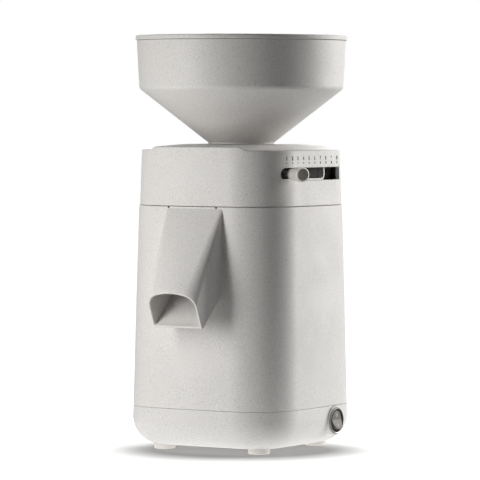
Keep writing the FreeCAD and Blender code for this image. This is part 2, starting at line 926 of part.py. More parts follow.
def make_fan():
    plate = disc(fan_radius, fan_top - fan_plate, fan_top)
    hub = disc(fan_hub_radius, fan_bottom, fan_top)
    half = blade_wall / 2
    blade_end = fan_radius - blade_margin
    blade = block(fan_hub_radius - over, blade_end, -half, half, fan_bottom, fan_top - fan_plate / 2)
    solid = joined([plate, hub] + around(blade, fan_blades))
    return solid.cut(disc(shaft_foot_radius, fan_bottom - over, fan_top + over))


# Stones, hub and feed screw

def furrows(face_z):
    half = furrow_width / 2
    cut = block(bevel_radius - furrow_lap, stone_radius + over, furrow_offset - half, furrow_offset + half,
                face_z - furrow_depth, face_z + furrow_depth)
    return around(cut, furrow_count)


def stone_form():
    """A stone with its grinding face up at height zero."""
    solid = ring(stone_radius, stone_eye, -stone_height, 0)
    bevel = spun([(0, -bevel_depth), (bevel_shelf_radius, -bevel_depth), (bevel_radius, 0),
                  (bevel_radius, over), (0, over)])
    return less(solid, [bevel] + furrows(0))


def make_lower_stone():
    return moved(stone_form(), 0, 0, lower_stone_top)


def holder_screw_spots():
    return on_circle(holder_screw_circle, 3, 30)


def make_upper_stone():
    solid = moved(turned(stone_form(), 180, HERE, V(1, 0, 0)), 0, 0, upper_stone_bottom)
    foot = chamber_top - stone_screw_grip - seam_gap
    return less(solid, [disc(screw_radius + pin_gap, foot, chamber_top + over, x, y)
                        for x, y in holder_screw_spots()])


def make_hub():
    foot = lower_stone_bottom - hub_plate
    rim = stone_radius - hub_margin
    spigot = stone_eye - pin_gap
    top = clamp_bottom - run_gap
    solid = spun([(shaft_radius, foot), (rim, foot), (rim, lower_stone_bottom), (spigot, lower_stone_bottom),
                  (spigot, top), (shaft_radius, top)])
    start = shaft_seal_radius + collar_wall + sweep_start_gap
    half = sweep_width / 2
    end = chamber_radius - sweep_gap
    arm = block(start, end, -half, half, chamber_floor_top + sweep_gap, lower_stone_bottom)
    solid = joined([solid] + around(arm, sweep_count))
    return solid.cut(key_block(pin_gap))


def make_feed_screw():
    washer = bevel_shelf_radius - seam_gap
    barrel = feed_barrel_radius
    top = clamp_bottom + feed_height
    neck = top - feed_chamfer
    washer_top = clamp_bottom + feed_washer_height
    solid = spun([(0, clamp_bottom), (washer, clamp_bottom), (washer, washer_top), (barrel, washer_top),
                  (barrel, neck), (barrel - feed_chamfer, top), (0, top)])
    half = feed_vane_wall / 2
    vane = block(barrel - over, stone_eye - sweep_gap, -half, half, clamp_bottom + over, neck)
    solid = joined([solid] + around(vane, feed_vane_count))
    step = clamp_bottom + shaft_tip_step
    solid = solid.cut(disc(shaft_foot_radius, step - run_gap, clamp_bottom + shaft_tip_height + run_gap))
    return solid.cut(disc(shaft_radius + pin_gap, clamp_bottom - over, step + pin_gap))


# Head shell and what it carries

def roof_section(y, rise):
    """Closed outline across X at one y: low shoulders, two S curves and a flat raised middle."""
    lean = 2 * math.atan(rise / bridge_slope_run)
    radius = bridge_slope_run / (2 * math.sin(lean))
    foot_x = bridge_foot_half
    middle_x = foot_x - bridge_slope_run / 2
    top_x = foot_x - bridge_slope_run
    half_x = radius * math.sin(lean / 2)
    half_z = radius * (1 - math.cos(lean / 2))
    side_x = head_bottom_half + roof_margin
    floor_z = head_bottom - over
    low = shoulder_z
    high = shoulder_z + rise
    edges = [Part.makeLine(V(side_x, y, floor_z), V(side_x, y, low))]
    edges.append(Part.makeLine(V(side_x, y, low), V(foot_x, y, low)))
    points = [V(foot_x, y, low), V(foot_x - half_x, y, low + half_z), V(middle_x, y, low + rise / 2),
              V(top_x + half_x, y, high - half_z), V(top_x, y, high)]
    edges.append(Part.Arc(points[0], points[1], points[2]).toShape())
    edges.append(Part.Arc(points[2], points[3], points[4]).toShape())
    edges.append(Part.makeLine(V(top_x, y, high), V(-top_x, y, high)))
    points = [V(-point.x, y, point.z) for point in points]
    edges.append(Part.Arc(points[4], points[3], points[2]).toShape())
    edges.append(Part.Arc(points[2], points[1], points[0]).toShape())
    edges.append(Part.makeLine(V(-foot_x, y, low), V(-side_x, y, low)))
    edges.append(Part.makeLine(V(-side_x, y, low), V(-side_x, y, floor_z)))
    edges.append(Part.makeLine(V(-side_x, y, floor_z), V(side_x, y, floor_z)))
    return Part.Wire(edges)


def make_roof():
    reach = head_bottom_half + roof_margin
    full = bridge_rise + crown_rise
    stations = [(-reach, bridge_rise), (-crown_half, full), (crown_half, full), (reach, bridge_rise)]
    return Part.makeLoft([roof_section(y, rise) for y, rise in stations], True, True)


def head_post_spots():
    return corners_of(head_post_spread)


def make_head_shell():
    solid = tower(head_bottom, hopper_seat + over, head_half).common(make_roof())
    solid = solid.cut(tower(head_bottom - over, ceiling_z, head_half, wall))
    bore = neck_radius + seat_gap
    bore_foot = ceiling_z - socket_depth
    socket = disc(bore + socket_wall, bore_foot, ceiling_z + bridge_rise + over)
    posts = [disc(head_post_radius, head_plate_top, ceiling_z + over, x, y) for x, y in head_post_spots()]
    solid = joined([solid, socket] + posts)
    inner_half = bridge_foot_half - bridge_slope_run - wall
    pocket_top = ceiling_z + bridge_rise
    pocket = block(-inner_half, inner_half, -pocket_half, pocket_half, ceiling_z - over, pocket_top)
    cuts = [pocket.cut(socket)]
    cuts.append(disc(bore, bore_foot - over, hopper_seat + over))
    low = lever_z - slot_half_height
    high = lever_z + slot_half_height
    slot = sector(slot_start_deg, slot_end_deg, low, high).cut(disc(side_start, low - over, high + over))
    cuts.append(slot)
    slot_start = polar(side_start, slot_start_deg, lever_z)
    cuts.append(rod(slot_half_height, slot_start, polar(far, slot_start_deg, lever_z)))
    hole = screw_radius + pin_gap
    tip = head_plate_top + head_screw_grip
    cuts += [disc(hole, head_plate_top - over, tip + over, x, y) for x, y in head_post_spots()]
    return less(solid, cuts)


def make_head_plate():
    solid = tower(head_plate_bottom, head_plate_top, head_half, wall + seat_gap)
    spacer_top = ring_bottom + ring_foot_height + run_gap
    spacer = ring(retainer_radius, ring_foot_radius + seat_gap, head_plate_top - over, spacer_top)
    studs = [disc(stud_radius, head_plate_top - over, head_plate_top + stud_height, x, y)
             for x, y in on_circle(stud_circle, stud_count, 90)]
    solid = joined([solid, spacer] + studs)
    low = head_plate_bottom - over
    high = head_plate_top + over
    cuts = [disc(head_plate_hole, low, high)]
    hole = screw_radius + pin_gap
    cuts += [disc(hole, low, high, x, y) for x, y in head_post_spots()]
    sink = screw_head_radius + pin_gap
    cuts += [disc(sink, low, head_plate_bottom + screw_head_height, x, y) for x, y in head_post_spots()]
    small = small_screw_radius + pin_gap
    cuts += [disc(small, head_plate_bottom + over, spacer_top + over, x, y)
             for x, y in on_circle(retainer_screw_circle, 4)]
    return less(solid, cuts)


def retainer_levels():
    low = ring_bottom + ring_foot_height + run_gap
    return low, low + retainer_height


def make_retainer():
    low, high = retainer_levels()
    solid = ring(retainer_radius, thread_radius + thread_wall + seat_gap, low, high)
    small = small_screw_radius + pin_gap
    return less(solid, [disc(small, low - over, high + over, x, y)
                        for x, y in on_circle(retainer_screw_circle, 4)])


def make_retainer_screws():
    top = retainer_levels()[1] + screw_head_height
    tip = head_plate_bottom + retainer_screw_rest
    return [screw_down(x, y, top, tip, small_screw_radius, small_screw_head)
            for x, y in on_circle(retainer_screw_circle, 4)]


def make_rail():
    low = lever_z - slot_half_height
    foot = low - rail_depth
    high = lever_z + slot_half_height + rail_overlap
    stop_foot = rail_end_deg - rail_stop_deg
    reach = sector(rail_start_deg, rail_end_deg, foot, low + rail_rise)
    reach = reach.fuse(sector(stop_foot, rail_end_deg, foot, high)).removeSplitter()
    return band(foot - over, high + over, head_half, wall, wall + rail_wall).common(reach)


# Adjusting ring with its drum, lever and knob

def make_ring():
    bore = thread_radius + pin_gap
    hub = thread_radius + thread_wall
    web_top = web_bottom + drum_web
    drum_top = web_bottom + drum_height
    foot_top = ring_bottom + ring_foot_height
    drum_in = drum_radius - drum_wall
    solid = spun([(bore, ring_bottom), (ring_foot_radius, ring_bottom), (ring_foot_radius, foot_top),
                  (hub, foot_top), (hub, web_bottom), (drum_radius, web_bottom), (drum_radius, drum_top),
                  (drum_in, drum_top), (drum_in, web_top), (bore, web_top)])
    return solid.cut(rod(stem_radius, along_lever(drum_in - over), along_lever(drum_radius + over)))


def along_lever(radius):
    return polar(radius, lever_rest_deg, lever_z)


def make_stem():
    head_end = drum_radius - drum_wall - stem_head_gap
    head = rod(stem_head_radius, along_lever(head_end - stem_head_height), along_lever(head_end))
    shank = rod(stem_radius, along_lever(head_end - stem_head_height), along_lever(knob_start + stem_grip))
    return joined([head, shank])


def make_knob():
    end = knob_end - knob_chamfer
    solid = taper(knob_inner_radius, knob_outer_radius, along_lever(knob_start), along_lever(end))
    face_radius = knob_outer_radius - knob_chamfer
    solid = solid.fuse(taper(knob_outer_radius, face_radius, along_lever(end), along_lever(knob_end)))
    solid = solid.cut(rod(stem_radius, along_lever(knob_start - over), along_lever(knob_start + stem_grip)))
    cap_seat = along_lever(knob_end - cap_height)
    return solid.cut(rod(cap_radius + pin_gap, cap_seat, along_lever(knob_end + over)))


# Stone holder

def make_holder():
    low = chamber_top
    flange_foot = low + holder_body
    flange_top = flange_foot + holder_flange
    pocket_z = flange_top - holder_pocket
    tube_in = feed_tube_radius
    tube_out = feed_tube_radius + feed_tube_wall
    tube_top = flange_top + feed_tube_height
    solid = spun([(stone_eye, low), (holder_radius, low), (holder_radius, flange_foot),
                  (thread_radius, flange_foot), (thread_radius, flange_top), (holder_radius, flange_top),
                  (holder_radius - holder_rim, pocket_z), (tube_out, pocket_z), (tube_out, tube_top),
                  (tube_in, tube_top), (tube_in, pocket_z + feed_tube_foot),
                  (stone_eye, low + holder_eye_lip)])
    half = stud_radius + seat_gap
    notch = disc(half, flange_foot - over, flange_top + over, stud_circle)
    slot = block(stud_circle, thread_radius + over, -half, half, flange_foot - over, flange_top + over)
    cuts = around(notch.fuse(slot), stud_count, 90)
    cuts += [disc(screw_radius + pin_gap, low - over, pocket_z + over, x, y) for x, y in holder_screw_spots()]
    return less(solid, cuts)


def make_holder_screws():
    seat = chamber_top + holder_body + holder_flange - holder_pocket
    tip = chamber_top - stone_screw_grip
    return [screw_down(x, y, seat + screw_head_height, tip) for x, y in holder_screw_spots()]


# Hopper, its guard and lid

def cone_radius(z):
    run = hopper_shoulder_height - run_gap
    return cone_foot_radius + (z - hopper_foot) * (hopper_shoulder_radius - cone_foot_radius) / run


def level_edges(solid, z):
    """The edges that lie flat at a height."""
    return [e for e in solid.Edges if abs(e.BoundBox.ZMin - z) < tiny and e.BoundBox.ZLength < tiny]


def make_hopper():
    shoulder = hopper_seat + hopper_shoulder_height
    lean = math.atan2(hopper_shoulder_radius - cone_foot_radius, shoulder - hopper_foot)
    lift = hopper_wall / math.sin(lean)
    inner_neck = neck_radius - hopper_wall
    per_radius = (shoulder - hopper_foot) / (hopper_shoulder_radius - cone_foot_radius)
    inner_shoulder_r = hopper_shoulder_radius - hopper_wall
    inner_shoulder_z = shoulder + lift - hopper_wall * per_radius
    inner_foot_z = hopper_foot + lift + (inner_neck - cone_foot_radius) * per_radius
    collar_top = hopper_foot + neck_collar_height
    inner_tip = tip_radius - hopper_wall
    outline = [(tip_radius, neck_bottom - tip_height), (tip_radius, neck_bottom), (neck_radius, neck_bottom),
               (neck_radius, hopper_foot), (neck_collar_radius, hopper_foot),
               (neck_collar_radius, collar_top), (cone_radius(collar_top), collar_top),
               (hopper_shoulder_radius, shoulder), (hopper_top_radius, hopper_top),
               (hopper_top_radius - hopper_wall, hopper_top), (inner_shoulder_r, inner_shoulder_z),
               (inner_neck, inner_foot_z), (inner_neck, neck_bottom + neck_chamfer),
               (inner_tip, neck_bottom - neck_chamfer), (inner_tip, neck_bottom - tip_height)]
    solid = spun(outline)
    solid = solid.makeFillet(hopper_round, level_edges(solid, shoulder))
    solid = solid.makeFillet(hopper_round - hopper_wall, level_edges(solid, inner_shoulder_z))
    return solid.cut(make_neck_ring())


def make_neck_ring():
    centre = V(0, 0, hopper_seat - oring_depth)
    return Part.makeTorus(neck_radius - oring_radius + seat_gap / 2, oring_radius, centre, UP)


def make_guard():
    top = hopper_seat - guard_depth
    low = top - guard_height
    outer = neck_radius - hopper_wall
    rim = ring(outer, outer - guard_rim, low, top)
    half = guard_bar_width / 2
    bar = block(over - outer, outer - over, -half, half, low, top)
    bars = [turned(bar, 180.0 * i / guard_bars) for i in range(guard_bars)]
    return joined([rim] + bars)


def make_lid():
    top = lid_bottom + lid_height
    solid = disc(lid_radius, lid_bottom, top)
    rims = [e for e in solid.Edges if e.BoundBox.ZMin > top - tiny]
    solid = solid.makeFillet(lid_round, rims)
    outer = hopper_top_radius - hopper_wall - 2 * seat_gap
    spigot = ring(outer, outer - lid_spigot_wall, lid_bottom - lid_spigot_height, lid_bottom + over)
    return joined([solid, spigot])


# Power switch, cord gland, capacitor, terminal block and leads

def make_switch_body():
    middle = V(0, switch_y, switch_z)
    back = switch_face - switch_barrel_depth
    front = switch_face + switch_bezel_height / 2
    barrel = rod(switch_barrel_radius, middle + V(back, 0, 0), middle + V(front, 0, 0))
    well_start = middle + V(front - switch_well_depth, 0, 0)
    well = rod(switch_well_radius, well_start, middle + V(front + over, 0, 0))
    half = switch_barrel_radius + over
    x = rocker_pivot().x
    axle = rod(pivot_radius + pin_gap, V(x, switch_y - half, switch_z), V(x, switch_y + half, switch_z))
    terminals = []
    wide = terminal_width / 2
    thick = terminal_sheet / 2
    for side in (-1, 1):
        z = switch_z + side * terminal_spread
        terminals.append(block(back - terminal_length, back + over, switch_y - wide, switch_y + wide,
                               z - thick, z + thick))
    return less(joined([barrel] + terminals), [well, axle])


def rocker_pivot():
    return V(switch_face - pivot_depth, switch_y, switch_z)


def make_bezel():
    middle = V(0, switch_y, switch_z)
    front = switch_face + switch_bezel_height
    outer = rod(switch_bezel_radius, middle + V(switch_face, 0, 0), middle + V(front, 0, 0))
    edge = [e for e in outer.Edges if e.BoundBox.XMin > front - tiny]
    outer = outer.makeFillet(switch_bezel_round, edge)
    hole = switch_barrel_radius + pin_gap
    return outer.cut(rod(hole, middle + V(side_start, 0, 0), middle + V(far, 0, 0)))


def make_rocker():
    """Rocker with a shallow V face, pressed in at the top."""
    pivot = rocker_pivot()
    rise = rocker_radius * math.tan(math.radians(rocker_tilt_deg))
    face_x = pivot.x + rocker_face
    beyond = face_x + rise + 2 * over
    body = rod(rocker_radius, pivot - V(rocker_back, 0, 0), pivot + V(rocker_face + rise + over, 0, 0))
    half = rocker_radius
    front = [V(face_x, -half, 0), V(face_x + rise, -half, half), V(beyond, -half, half),
             V(beyond, -half, -half), V(face_x + rise, -half, -half)]
    wedge = Part.Face(Part.makePolygon(front + front[:1])).extrude(V(0, 2 * half, 0))
    body = body.cut(moved(wedge, 0, switch_y, switch_z))
    reach = switch_barrel_radius - axle_end_gap
    axle = rod(pivot_radius, pivot - V(0, reach, 0), pivot + V(0, reach, 0))
    return turned(joined([body, axle]), -rocker_tilt_deg, pivot, V(0, 1, 0))


def make_gland():
    start = V(gland_x, gland_face - gland_depth, gland_z)
    face = V(gland_x, gland_face, gland_z)
    end = V(gland_x, gland_face + gland_flange_height, gland_z)
    solid = joined([rod(gland_radius, start, face), rod(gland_flange_radius, face, end)])
    return solid.cut(rod(gland_bore, start - V(0, over, 0), end + V(0, over, 0)))


def make_capacitor():
    can = disc(capacitor_radius, capacitor_z, capacitor_z + capacitor_height, capacitor_x)
    rims = [e for e in can.Edges if e.BoundBox.ZLength < tiny]
    return can.makeFillet(capacitor_round, rims)


def make_clip():
    low = capacitor_z + capacitor_height / 2 - clip_height / 2
    high = low + clip_height
    solid = ring(capacitor_radius + clip_wall, capacitor_radius + pin_gap, low, high, capacitor_x)
    inside = -wall_half(low) + wall
    tab_end = capacitor_x - capacitor_radius - clip_wall / 2
    tab = block(inside - over, tab_end, -clip_tab_half, clip_tab_half, low, high)
    tab = tab.common(tower(housing_bottom, housing_top, wall_half, wall))
    return joined([solid, tab])


def make_terminal_block():
    top = tray_floor_top + block_height
    solid = block(-block_length, 0, block_y, block_y + block_width, tray_floor_top, top)
    pitch = block_length / block_poles
    pit = disc(pit_radius, top - pit_depth, top + over, -pitch / 2, block_y + block_width / 2)
    return less(solid, [moved(pit, -pitch * i) for i in range(block_poles)])


def coil_edge(across):
    return math.sqrt(coil_outer ** 2 - across ** 2)


def make_line_in():
    y = block_y + block_width / 2
    z = tray_floor_top + block_height / 2
    x = lead_in_x
    end_z = switch_z + terminal_spread
    end_x = switch_face - switch_barrel_depth - terminal_length
    return lead([V(0, y, z), V(x, y, z), V(x, switch_y, z), V(x, switch_y, end_z), V(end_x, switch_y, end_z)])


def make_line_out():
    z = switch_z - terminal_spread
    start_x = switch_face - switch_barrel_depth - terminal_length
    entry = core_bottom - lead_entry
    x = core_radius + lead_clear
    y = lead_out_y
    return lead([V(start_x, switch_y, z), V(x, switch_y, z), V(x, y, z), V(x, y, entry),
                 V(coil_edge(y), y, entry)])


def make_neutral():
    x = -block_length / block_poles
    z = tray_floor_top + block_height / 2
    entry = core_bottom - lead_entry
    start_y = block_y + block_width
    y = start_y + lead_neutral_run
    return lead([V(x, start_y, z), V(x, y, z), V(x, y, entry), V(x, coil_edge(x), entry)])


def make_capacitor_leads():
    entry = core_bottom - lead_entry
    return [lead([V(capacitor_x, y, capacitor_z), V(capacitor_x, y, entry), V(-coil_edge(y), y, entry)])
            for y in (-lead_pair_half, lead_pair_half)]


save("base_tray", make_tray())
save("feet", *make_feet())
save("foot_screws", *make_foot_screws())
save("main_housing", make_housing())
save("flour_spout", make_spout())
save("spout_screws", *make_spout_screws())
save("flour_duct", make_duct())
save("motor_plate", make_plate())
save("plate_screws", *[screw_down(x, y, plate_top + screw_head_height, plate_bottom - plate_screw_grip + over)
                       for x, y in corners_of(foot_spread)])
save("milling_chamber", make_chamber())
save("chamber_screws", *[screw_down(x, y, chamber_floor_top + screw_head_height, plate_bottom + over)
                         for x, y in chamber_screw_spots()])
save("chamber_seal", ring(seal_radius + seal_width / 2, seal_radius - seal_width / 2, chamber_top,
                          chamber_top + seal_height))
save("shaft_seal", ring(shaft_seal_radius, shaft_radius + pin_gap, chamber_bottom + run_gap,
                        chamber_floor_top + collar_height))
save("stator_core", make_core())
save("stator_windings", make_windings())
save("upper_end_shield", make_shield(True))
save("lower_end_shield", make_shield(False))
save("shield_screws", *[screw_down(x, y, plate_top, plate_bottom - shield_web + seam_gap)
                        for x, y in shield_screw_spots()])
save("tie_bolts", *make_tie_bolts())
save("upper_bearing_outer", outer_race(upper_bearing_radius, upper_bearing_bottom, upper_bearing_top))
save("lower_bearing_outer", outer_race(lower_bearing_radius, lower_bearing_bottom, lower_bearing_top))
save("run_capacitor", make_capacitor())
save("capacitor_clip", make_clip())
save("terminal_block", make_terminal_block())
save("switch_body", make_switch_body())
save("switch_bezel", make_bezel())
save("cord_gland", make_gland())
save("lead_line_in", make_line_in())
save("lead_line_out", make_line_out())
save("lead_neutral", make_neutral())
save("capacitor_leads", *make_capacitor_leads())
save("head_shell", make_head_shell())
save("head_plate", make_head_plate())
save("head_screws", *[screw_up(x, y, head_plate_bottom, head_plate_top + head_screw_grip)
                      for x, y in head_post_spots()])
save("ring_retainer", make_retainer())
save("retainer_screws", *make_retainer_screws())
save("slot_rail", make_rail())
save("adjusting_ring", make_ring())
save("lever_stem", make_stem())
save("lever_knob", make_knob())
save("knob_cap", rod(cap_radius, along_lever(knob_end - cap_height), along_lever(knob_end)))
save("stone_holder", make_holder())
save("upper_stone", make_upper_stone())
save("upper_stone_screws", *make_holder_screws())
save("hopper", make_hopper())
save("neck_ring", make_neck_ring())
save("finger_guard", make_guard())
save("hopper_lid", make_lid())
save("motor_shaft", make_shaft())
save("shaft_key", key_block(0.0))
save("rotor_core", ring(core_bore - air_gap, shaft_core_radius, core_bottom, core_top))
save("rotor_end_rings", ring(end_ring_outer, end_ring_inner, core_top, core_top + end_ring_height),
     ring(end_ring_outer, end_ring_inner, core_bottom - end_ring_height, core_bottom))
save("upper_bearing_inner", inner_race(shaft_radius, upper_bearing_bottom, upper_bearing_top))
save("lower_bearing_inner", inner_race(shaft_foot_radius, lower_bearing_bottom, lower_bearing_top))
save("bearing_balls", *make_balls())
save("cooling_fan", make_fan())
save("stone_hub", make_hub())
save("lower_stone", make_lower_stone())
save("feed_screw", make_feed_screw())
save("switch_rocker", make_rocker())
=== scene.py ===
import json
import math

import bmesh
import bpy
from mathutils import Matrix, Vector


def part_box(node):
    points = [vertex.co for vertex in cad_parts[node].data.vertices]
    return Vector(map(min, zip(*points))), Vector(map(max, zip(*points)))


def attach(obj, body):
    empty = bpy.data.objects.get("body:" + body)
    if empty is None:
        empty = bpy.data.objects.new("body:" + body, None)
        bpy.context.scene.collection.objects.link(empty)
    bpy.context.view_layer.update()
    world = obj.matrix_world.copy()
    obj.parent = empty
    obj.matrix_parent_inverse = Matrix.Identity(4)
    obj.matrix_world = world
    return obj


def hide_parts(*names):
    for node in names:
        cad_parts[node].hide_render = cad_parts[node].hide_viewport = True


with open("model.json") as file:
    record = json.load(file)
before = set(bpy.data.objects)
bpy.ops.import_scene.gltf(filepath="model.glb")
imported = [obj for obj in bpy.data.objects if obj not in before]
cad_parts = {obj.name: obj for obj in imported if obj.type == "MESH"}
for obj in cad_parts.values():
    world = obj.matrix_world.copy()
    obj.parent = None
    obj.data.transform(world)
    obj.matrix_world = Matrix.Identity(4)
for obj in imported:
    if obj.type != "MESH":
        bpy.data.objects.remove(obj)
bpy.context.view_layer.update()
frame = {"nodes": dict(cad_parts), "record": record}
MM = 0.001

# Casing sizes in millimetres, the same as the solids' own

TRAY_TOP = 39.5
HOUSING_LOW = 40.0
HOUSING_TOP = 221.0
HEAD_LOW = 221.5
SHOULDER = 271.3
SEAT = 276.3
FOOT_H = 4.5
WALL = 3.0
CORNER = 46.0
BULGE = 900.0
LEVER_Z = SHOULDER - 21.1
LEVER_DEG = 62.0
FOOT_SPREAD = 50.0
SCREW_BORE = 2.05
CASING_LOW_HALF = 84.4
CASING_TOP_HALF = 80.5
HEAD_LOW_HALF = 80.0
HEAD_TOP_HALF = 78.6
LEAST_CORNER = 0.4

# The milling axis in the shared frame, read from the lid's box
lid_low, lid_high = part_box("hopper_lid")
AXIS_X = (lid_low.x + lid_high.x) / 2 / MM
AXIS_Y = (lid_low.y + lid_high.y) / 2 / MM


def tapered(z, low, high, at_low, at_high):
    """Value that changes evenly from one height to another."""
    return at_low + (z - low) / (high - low) * (at_high - at_low)


def casing_half(z):
    """Half width of the tray and housing at a height."""
    return tapered(z, TRAY_TOP, HOUSING_TOP, CASING_LOW_HALF, CASING_TOP_HALF)


def head_half(z):
    """Half width of the head at a height."""
    return tapered(z, HEAD_LOW, SHOULDER, HEAD_LOW_HALF, HEAD_TOP_HALF)


# Mesh helpers; every point is in millimetres from the milling axis

JOIN_DISTANCE = 1e-6
COLLAPSE_DISTANCE = 1e-7
SHARP_DEG = 35.0


def raw_mesh(name, points, faces):
    mesh = bpy.data.meshes.new(name)
    mesh.from_pydata([((x + AXIS_X) * MM, (y + AXIS_Y) * MM, z * MM) for x, y, z in points], [], faces)
    return mesh


def put(name, data):
    """New object in the scene."""
    thing = bpy.data.objects.new(name, data)
    bpy.context.scene.collection.objects.link(thing)
    return thing


def build(name, points, faces, sharp_deg=SHARP_DEG):
    mesh = raw_mesh(name, points, faces)
    mesh.update()
    tidy(mesh, sharp_deg)
    return put(name, mesh)


def tidy(mesh, sharp_deg=SHARP_DEG):
    """Joins doubled points, turns faces outward and smooths every edge below an angle."""
    work = bmesh.new()
    work.from_mesh(mesh)
    bmesh.ops.remove_doubles(work, verts=work.verts, dist=JOIN_DISTANCE)
    bmesh.ops.dissolve_degenerate(work, edges=work.edges, dist=COLLAPSE_DISTANCE)
    bmesh.ops.recalc_face_normals(work, faces=work.faces)
    work.to_mesh(mesh)
    work.free()
    mesh.polygons.foreach_set("use_smooth", [True] * len(mesh.polygons))
    mesh.set_sharp_from_angle(angle=math.radians(sharp_deg))


def ring_faces(start, count, after):
    """Quads between two rings of points whose first indices are start and after."""
    return [(start + i, start + (i + 1) % count, after + (i + 1) % count, after + i) for i in range(count)]


def skin(rings, loop=False, caps=(False, False)):
    """Points and quads through a stack of rings, either looped on itself or capped at its ends."""
    count = len(rings[0])
    points = [p for ring in rings for p in ring]
    faces = []
    steps = len(rings) if loop else len(rings) - 1
    for k in range(steps):
        faces += ring_faces(k * count, count, (k + 1) % len(rings) * count)
    if caps[0]:
        faces.append(tuple(range(count))[::-1])
    if caps[1]:
        first = (len(rings) - 1) * count
        faces.append(tuple(range(first, first + count)))
    return points, faces


def merged(*parts):
    points, faces = [], []
    for more_points, more_faces in parts:
        base = len(points)
        points += more_points
        faces += [tuple(i + base for i in face) for face in more_faces]
    return points, faces


def corner_spots(spread):
    return [(x, y) for x in (-spread, spread) for y in (-spread, spread)]


def at_corners(part, spread):
    """Four copies of a part, one at each corner spot."""
    points, faces = part
    return [([(px + x, py + y, pz) for px, py, pz in points], faces) for x, y in corner_spots(spread)]


def circle(count):
    return [2 * math.pi * i / count for i in range(count)]


def lathe(profile, count, loop=True, place=None):
    """Turns an outline of (radius, height) points about the milling axis, or about the line set by place."""
    rings = []
    for r, h in profile:
        ring = [(r * math.cos(a), r * math.sin(a), h) for a in circle(count)]
        rings.append([place(*point) for point in ring] if place else ring)
    return skin(rings, loop=loop)


def rounded(profile, radii, steps=5, hold=0.35):
    """Rounds the corners of a closed outline.

    A point at the distance hold outside each round keeps the shading of the straight runs flat.
    """
    out = []
    total = len(profile)
    for i, corner in enumerate(profile):
        radius = radii.get(i, 0.0)
        here = Vector(corner)
        back = Vector(profile[i - 1]) - here
        on = Vector(profile[(i + 1) % total]) - here
        if radius <= 0:
            out.append(corner)
            continue
        angle = back.angle(on)
        run = radius / math.tan(angle / 2)
        back_dir, on_dir = back.normalized(), on.normalized()
        start, end = here + back_dir * run, here + on_dir * run
        centre = here + (back_dir + on_dir).normalized() * (radius / math.sin(angle / 2))
        if back.length > run + hold:
            out.append(tuple(start + back_dir * hold))
        first, last = start - centre, end - centre
        sweep = first.angle(last)
        side = 1 if first.x * last.y - first.y * last.x > 0 else -1
        for k in range(steps + 1):
            a = side * sweep * k / steps
            c, s = math.cos(a), math.sin(a)
            out.append((centre.x + first.x * c - first.y * s, centre.y + first.x * s + first.y * c))
        if on.length > run + hold:
            out.append(tuple(end + on_dir * hold))
    return out


def arc_points(cx, cy, r, start_deg, end_deg, steps):
    out = []
    for k in range(steps + 1):
        a = math.radians(start_deg + (end_deg - start_deg) * k / steps)
        out.append((cx + r * math.cos(a), cy + r * math.sin(a)))
    return out


def cut(piece, cutter_points, cutter_faces, operation="DIFFERENCE"):
    """Takes a closed mesh out of a piece, or joins it on, before the piece rides on its body."""
    mesh = raw_mesh("cutter", cutter_points, cutter_faces)
    work = bmesh.new()
    work.from_mesh(mesh)
    bmesh.ops.remove_doubles(work, verts=work.verts, dist=JOIN_DISTANCE)
    bmesh.ops.recalc_face_normals(work, faces=work.faces)
    work.to_mesh(mesh)
    work.free()
    tool = put("cutter", mesh)
    change = piece.modifiers.new("cut", "BOOLEAN")
    change.operation = operation
    change.solver = "EXACT"
    change.object = tool
    graph = bpy.context.evaluated_depsgraph_get()
    result = bpy.data.meshes.new_from_object(piece.evaluated_get(graph))
    piece.modifiers.clear()
    old = piece.data
    piece.data = result
    tidy(result)
    bpy.data.meshes.remove(old)
    bpy.data.objects.remove(tool)
    bpy.data.meshes.remove(mesh)


def box_mesh(x0, x1, y0, y1, z0, z1):
    points = [(x, y, z) for z in (z0, z1) for x, y in ((x0, y0), (x1, y0), (x1, y1), (x0, y1))]
    faces = [(3, 2, 1, 0), (4, 5, 6, 7), (0, 1, 5, 4), (1, 2, 6, 5), (2, 3, 7, 6), (3, 0, 4, 7)]
    return points, faces


def drum(r, start, end, count):
    """Closed cylinder between two points."""
    start, end = Vector(start), Vector(end)
    axis = (end - start).normalized()
    side = axis.orthogonal().normalized()
    up = axis.cross(side)
    rings = [[tuple(centre + side * (r * math.cos(a)) + up * (r * math.sin(a))) for a in circle(count)]
             for centre in (start, end)]
    return skin(rings, caps=(True, True))


def along(start, direction):
    """Placing function that turns (x, y, height) of a lathe into points along a level line."""
    start, axis = Vector(start), Vector(direction).normalized()
    side = axis.cross(Vector((0, 0, 1))).normalized()
    up = side.cross(axis)
    return lambda x, y, h: tuple(start + axis * h + side * x + up * y)


# Plan outline of the casing

SIDE_STEPS = 24
CORNER_STEPS = 40


def plan_marks(half, corner):
    """Corner centre and the side arc's end, for a rounded square with bulged sides."""
    shift = half - BULGE
    k = (shift + math.sqrt(2 * (BULGE - corner) ** 2 - shift ** 2)) / 2
    turn = math.atan2(k, k - shift)
    return shift, k, turn


def plan_ring(half, corner, z):
    """Ring of points round the casing, with the same count at every size."""
    shift, k, turn = plan_marks(half, corner)
    quarter = []
    for i in range(SIDE_STEPS):
        a = -turn + 2 * turn * i / SIDE_STEPS
        quarter.append((shift + BULGE * math.cos(a), BULGE * math.sin(a)))
    for i in range(CORNER_STEPS):
        a = turn + (math.pi / 2 - 2 * turn) * i / CORNER_STEPS
        quarter.append((k + corner * math.cos(a), k + corner * math.sin(a)))
    ring = []
    for turns in range(4):
        for x, y in quarter:
            for _ in range(turns):
                x, y = -y, x
            ring.append((x, y, z))
    return ring


def inset_ring(half_of, inset, z):
    return plan_ring(half_of(z) - inset, max(CORNER - inset, LEAST_CORNER), z)


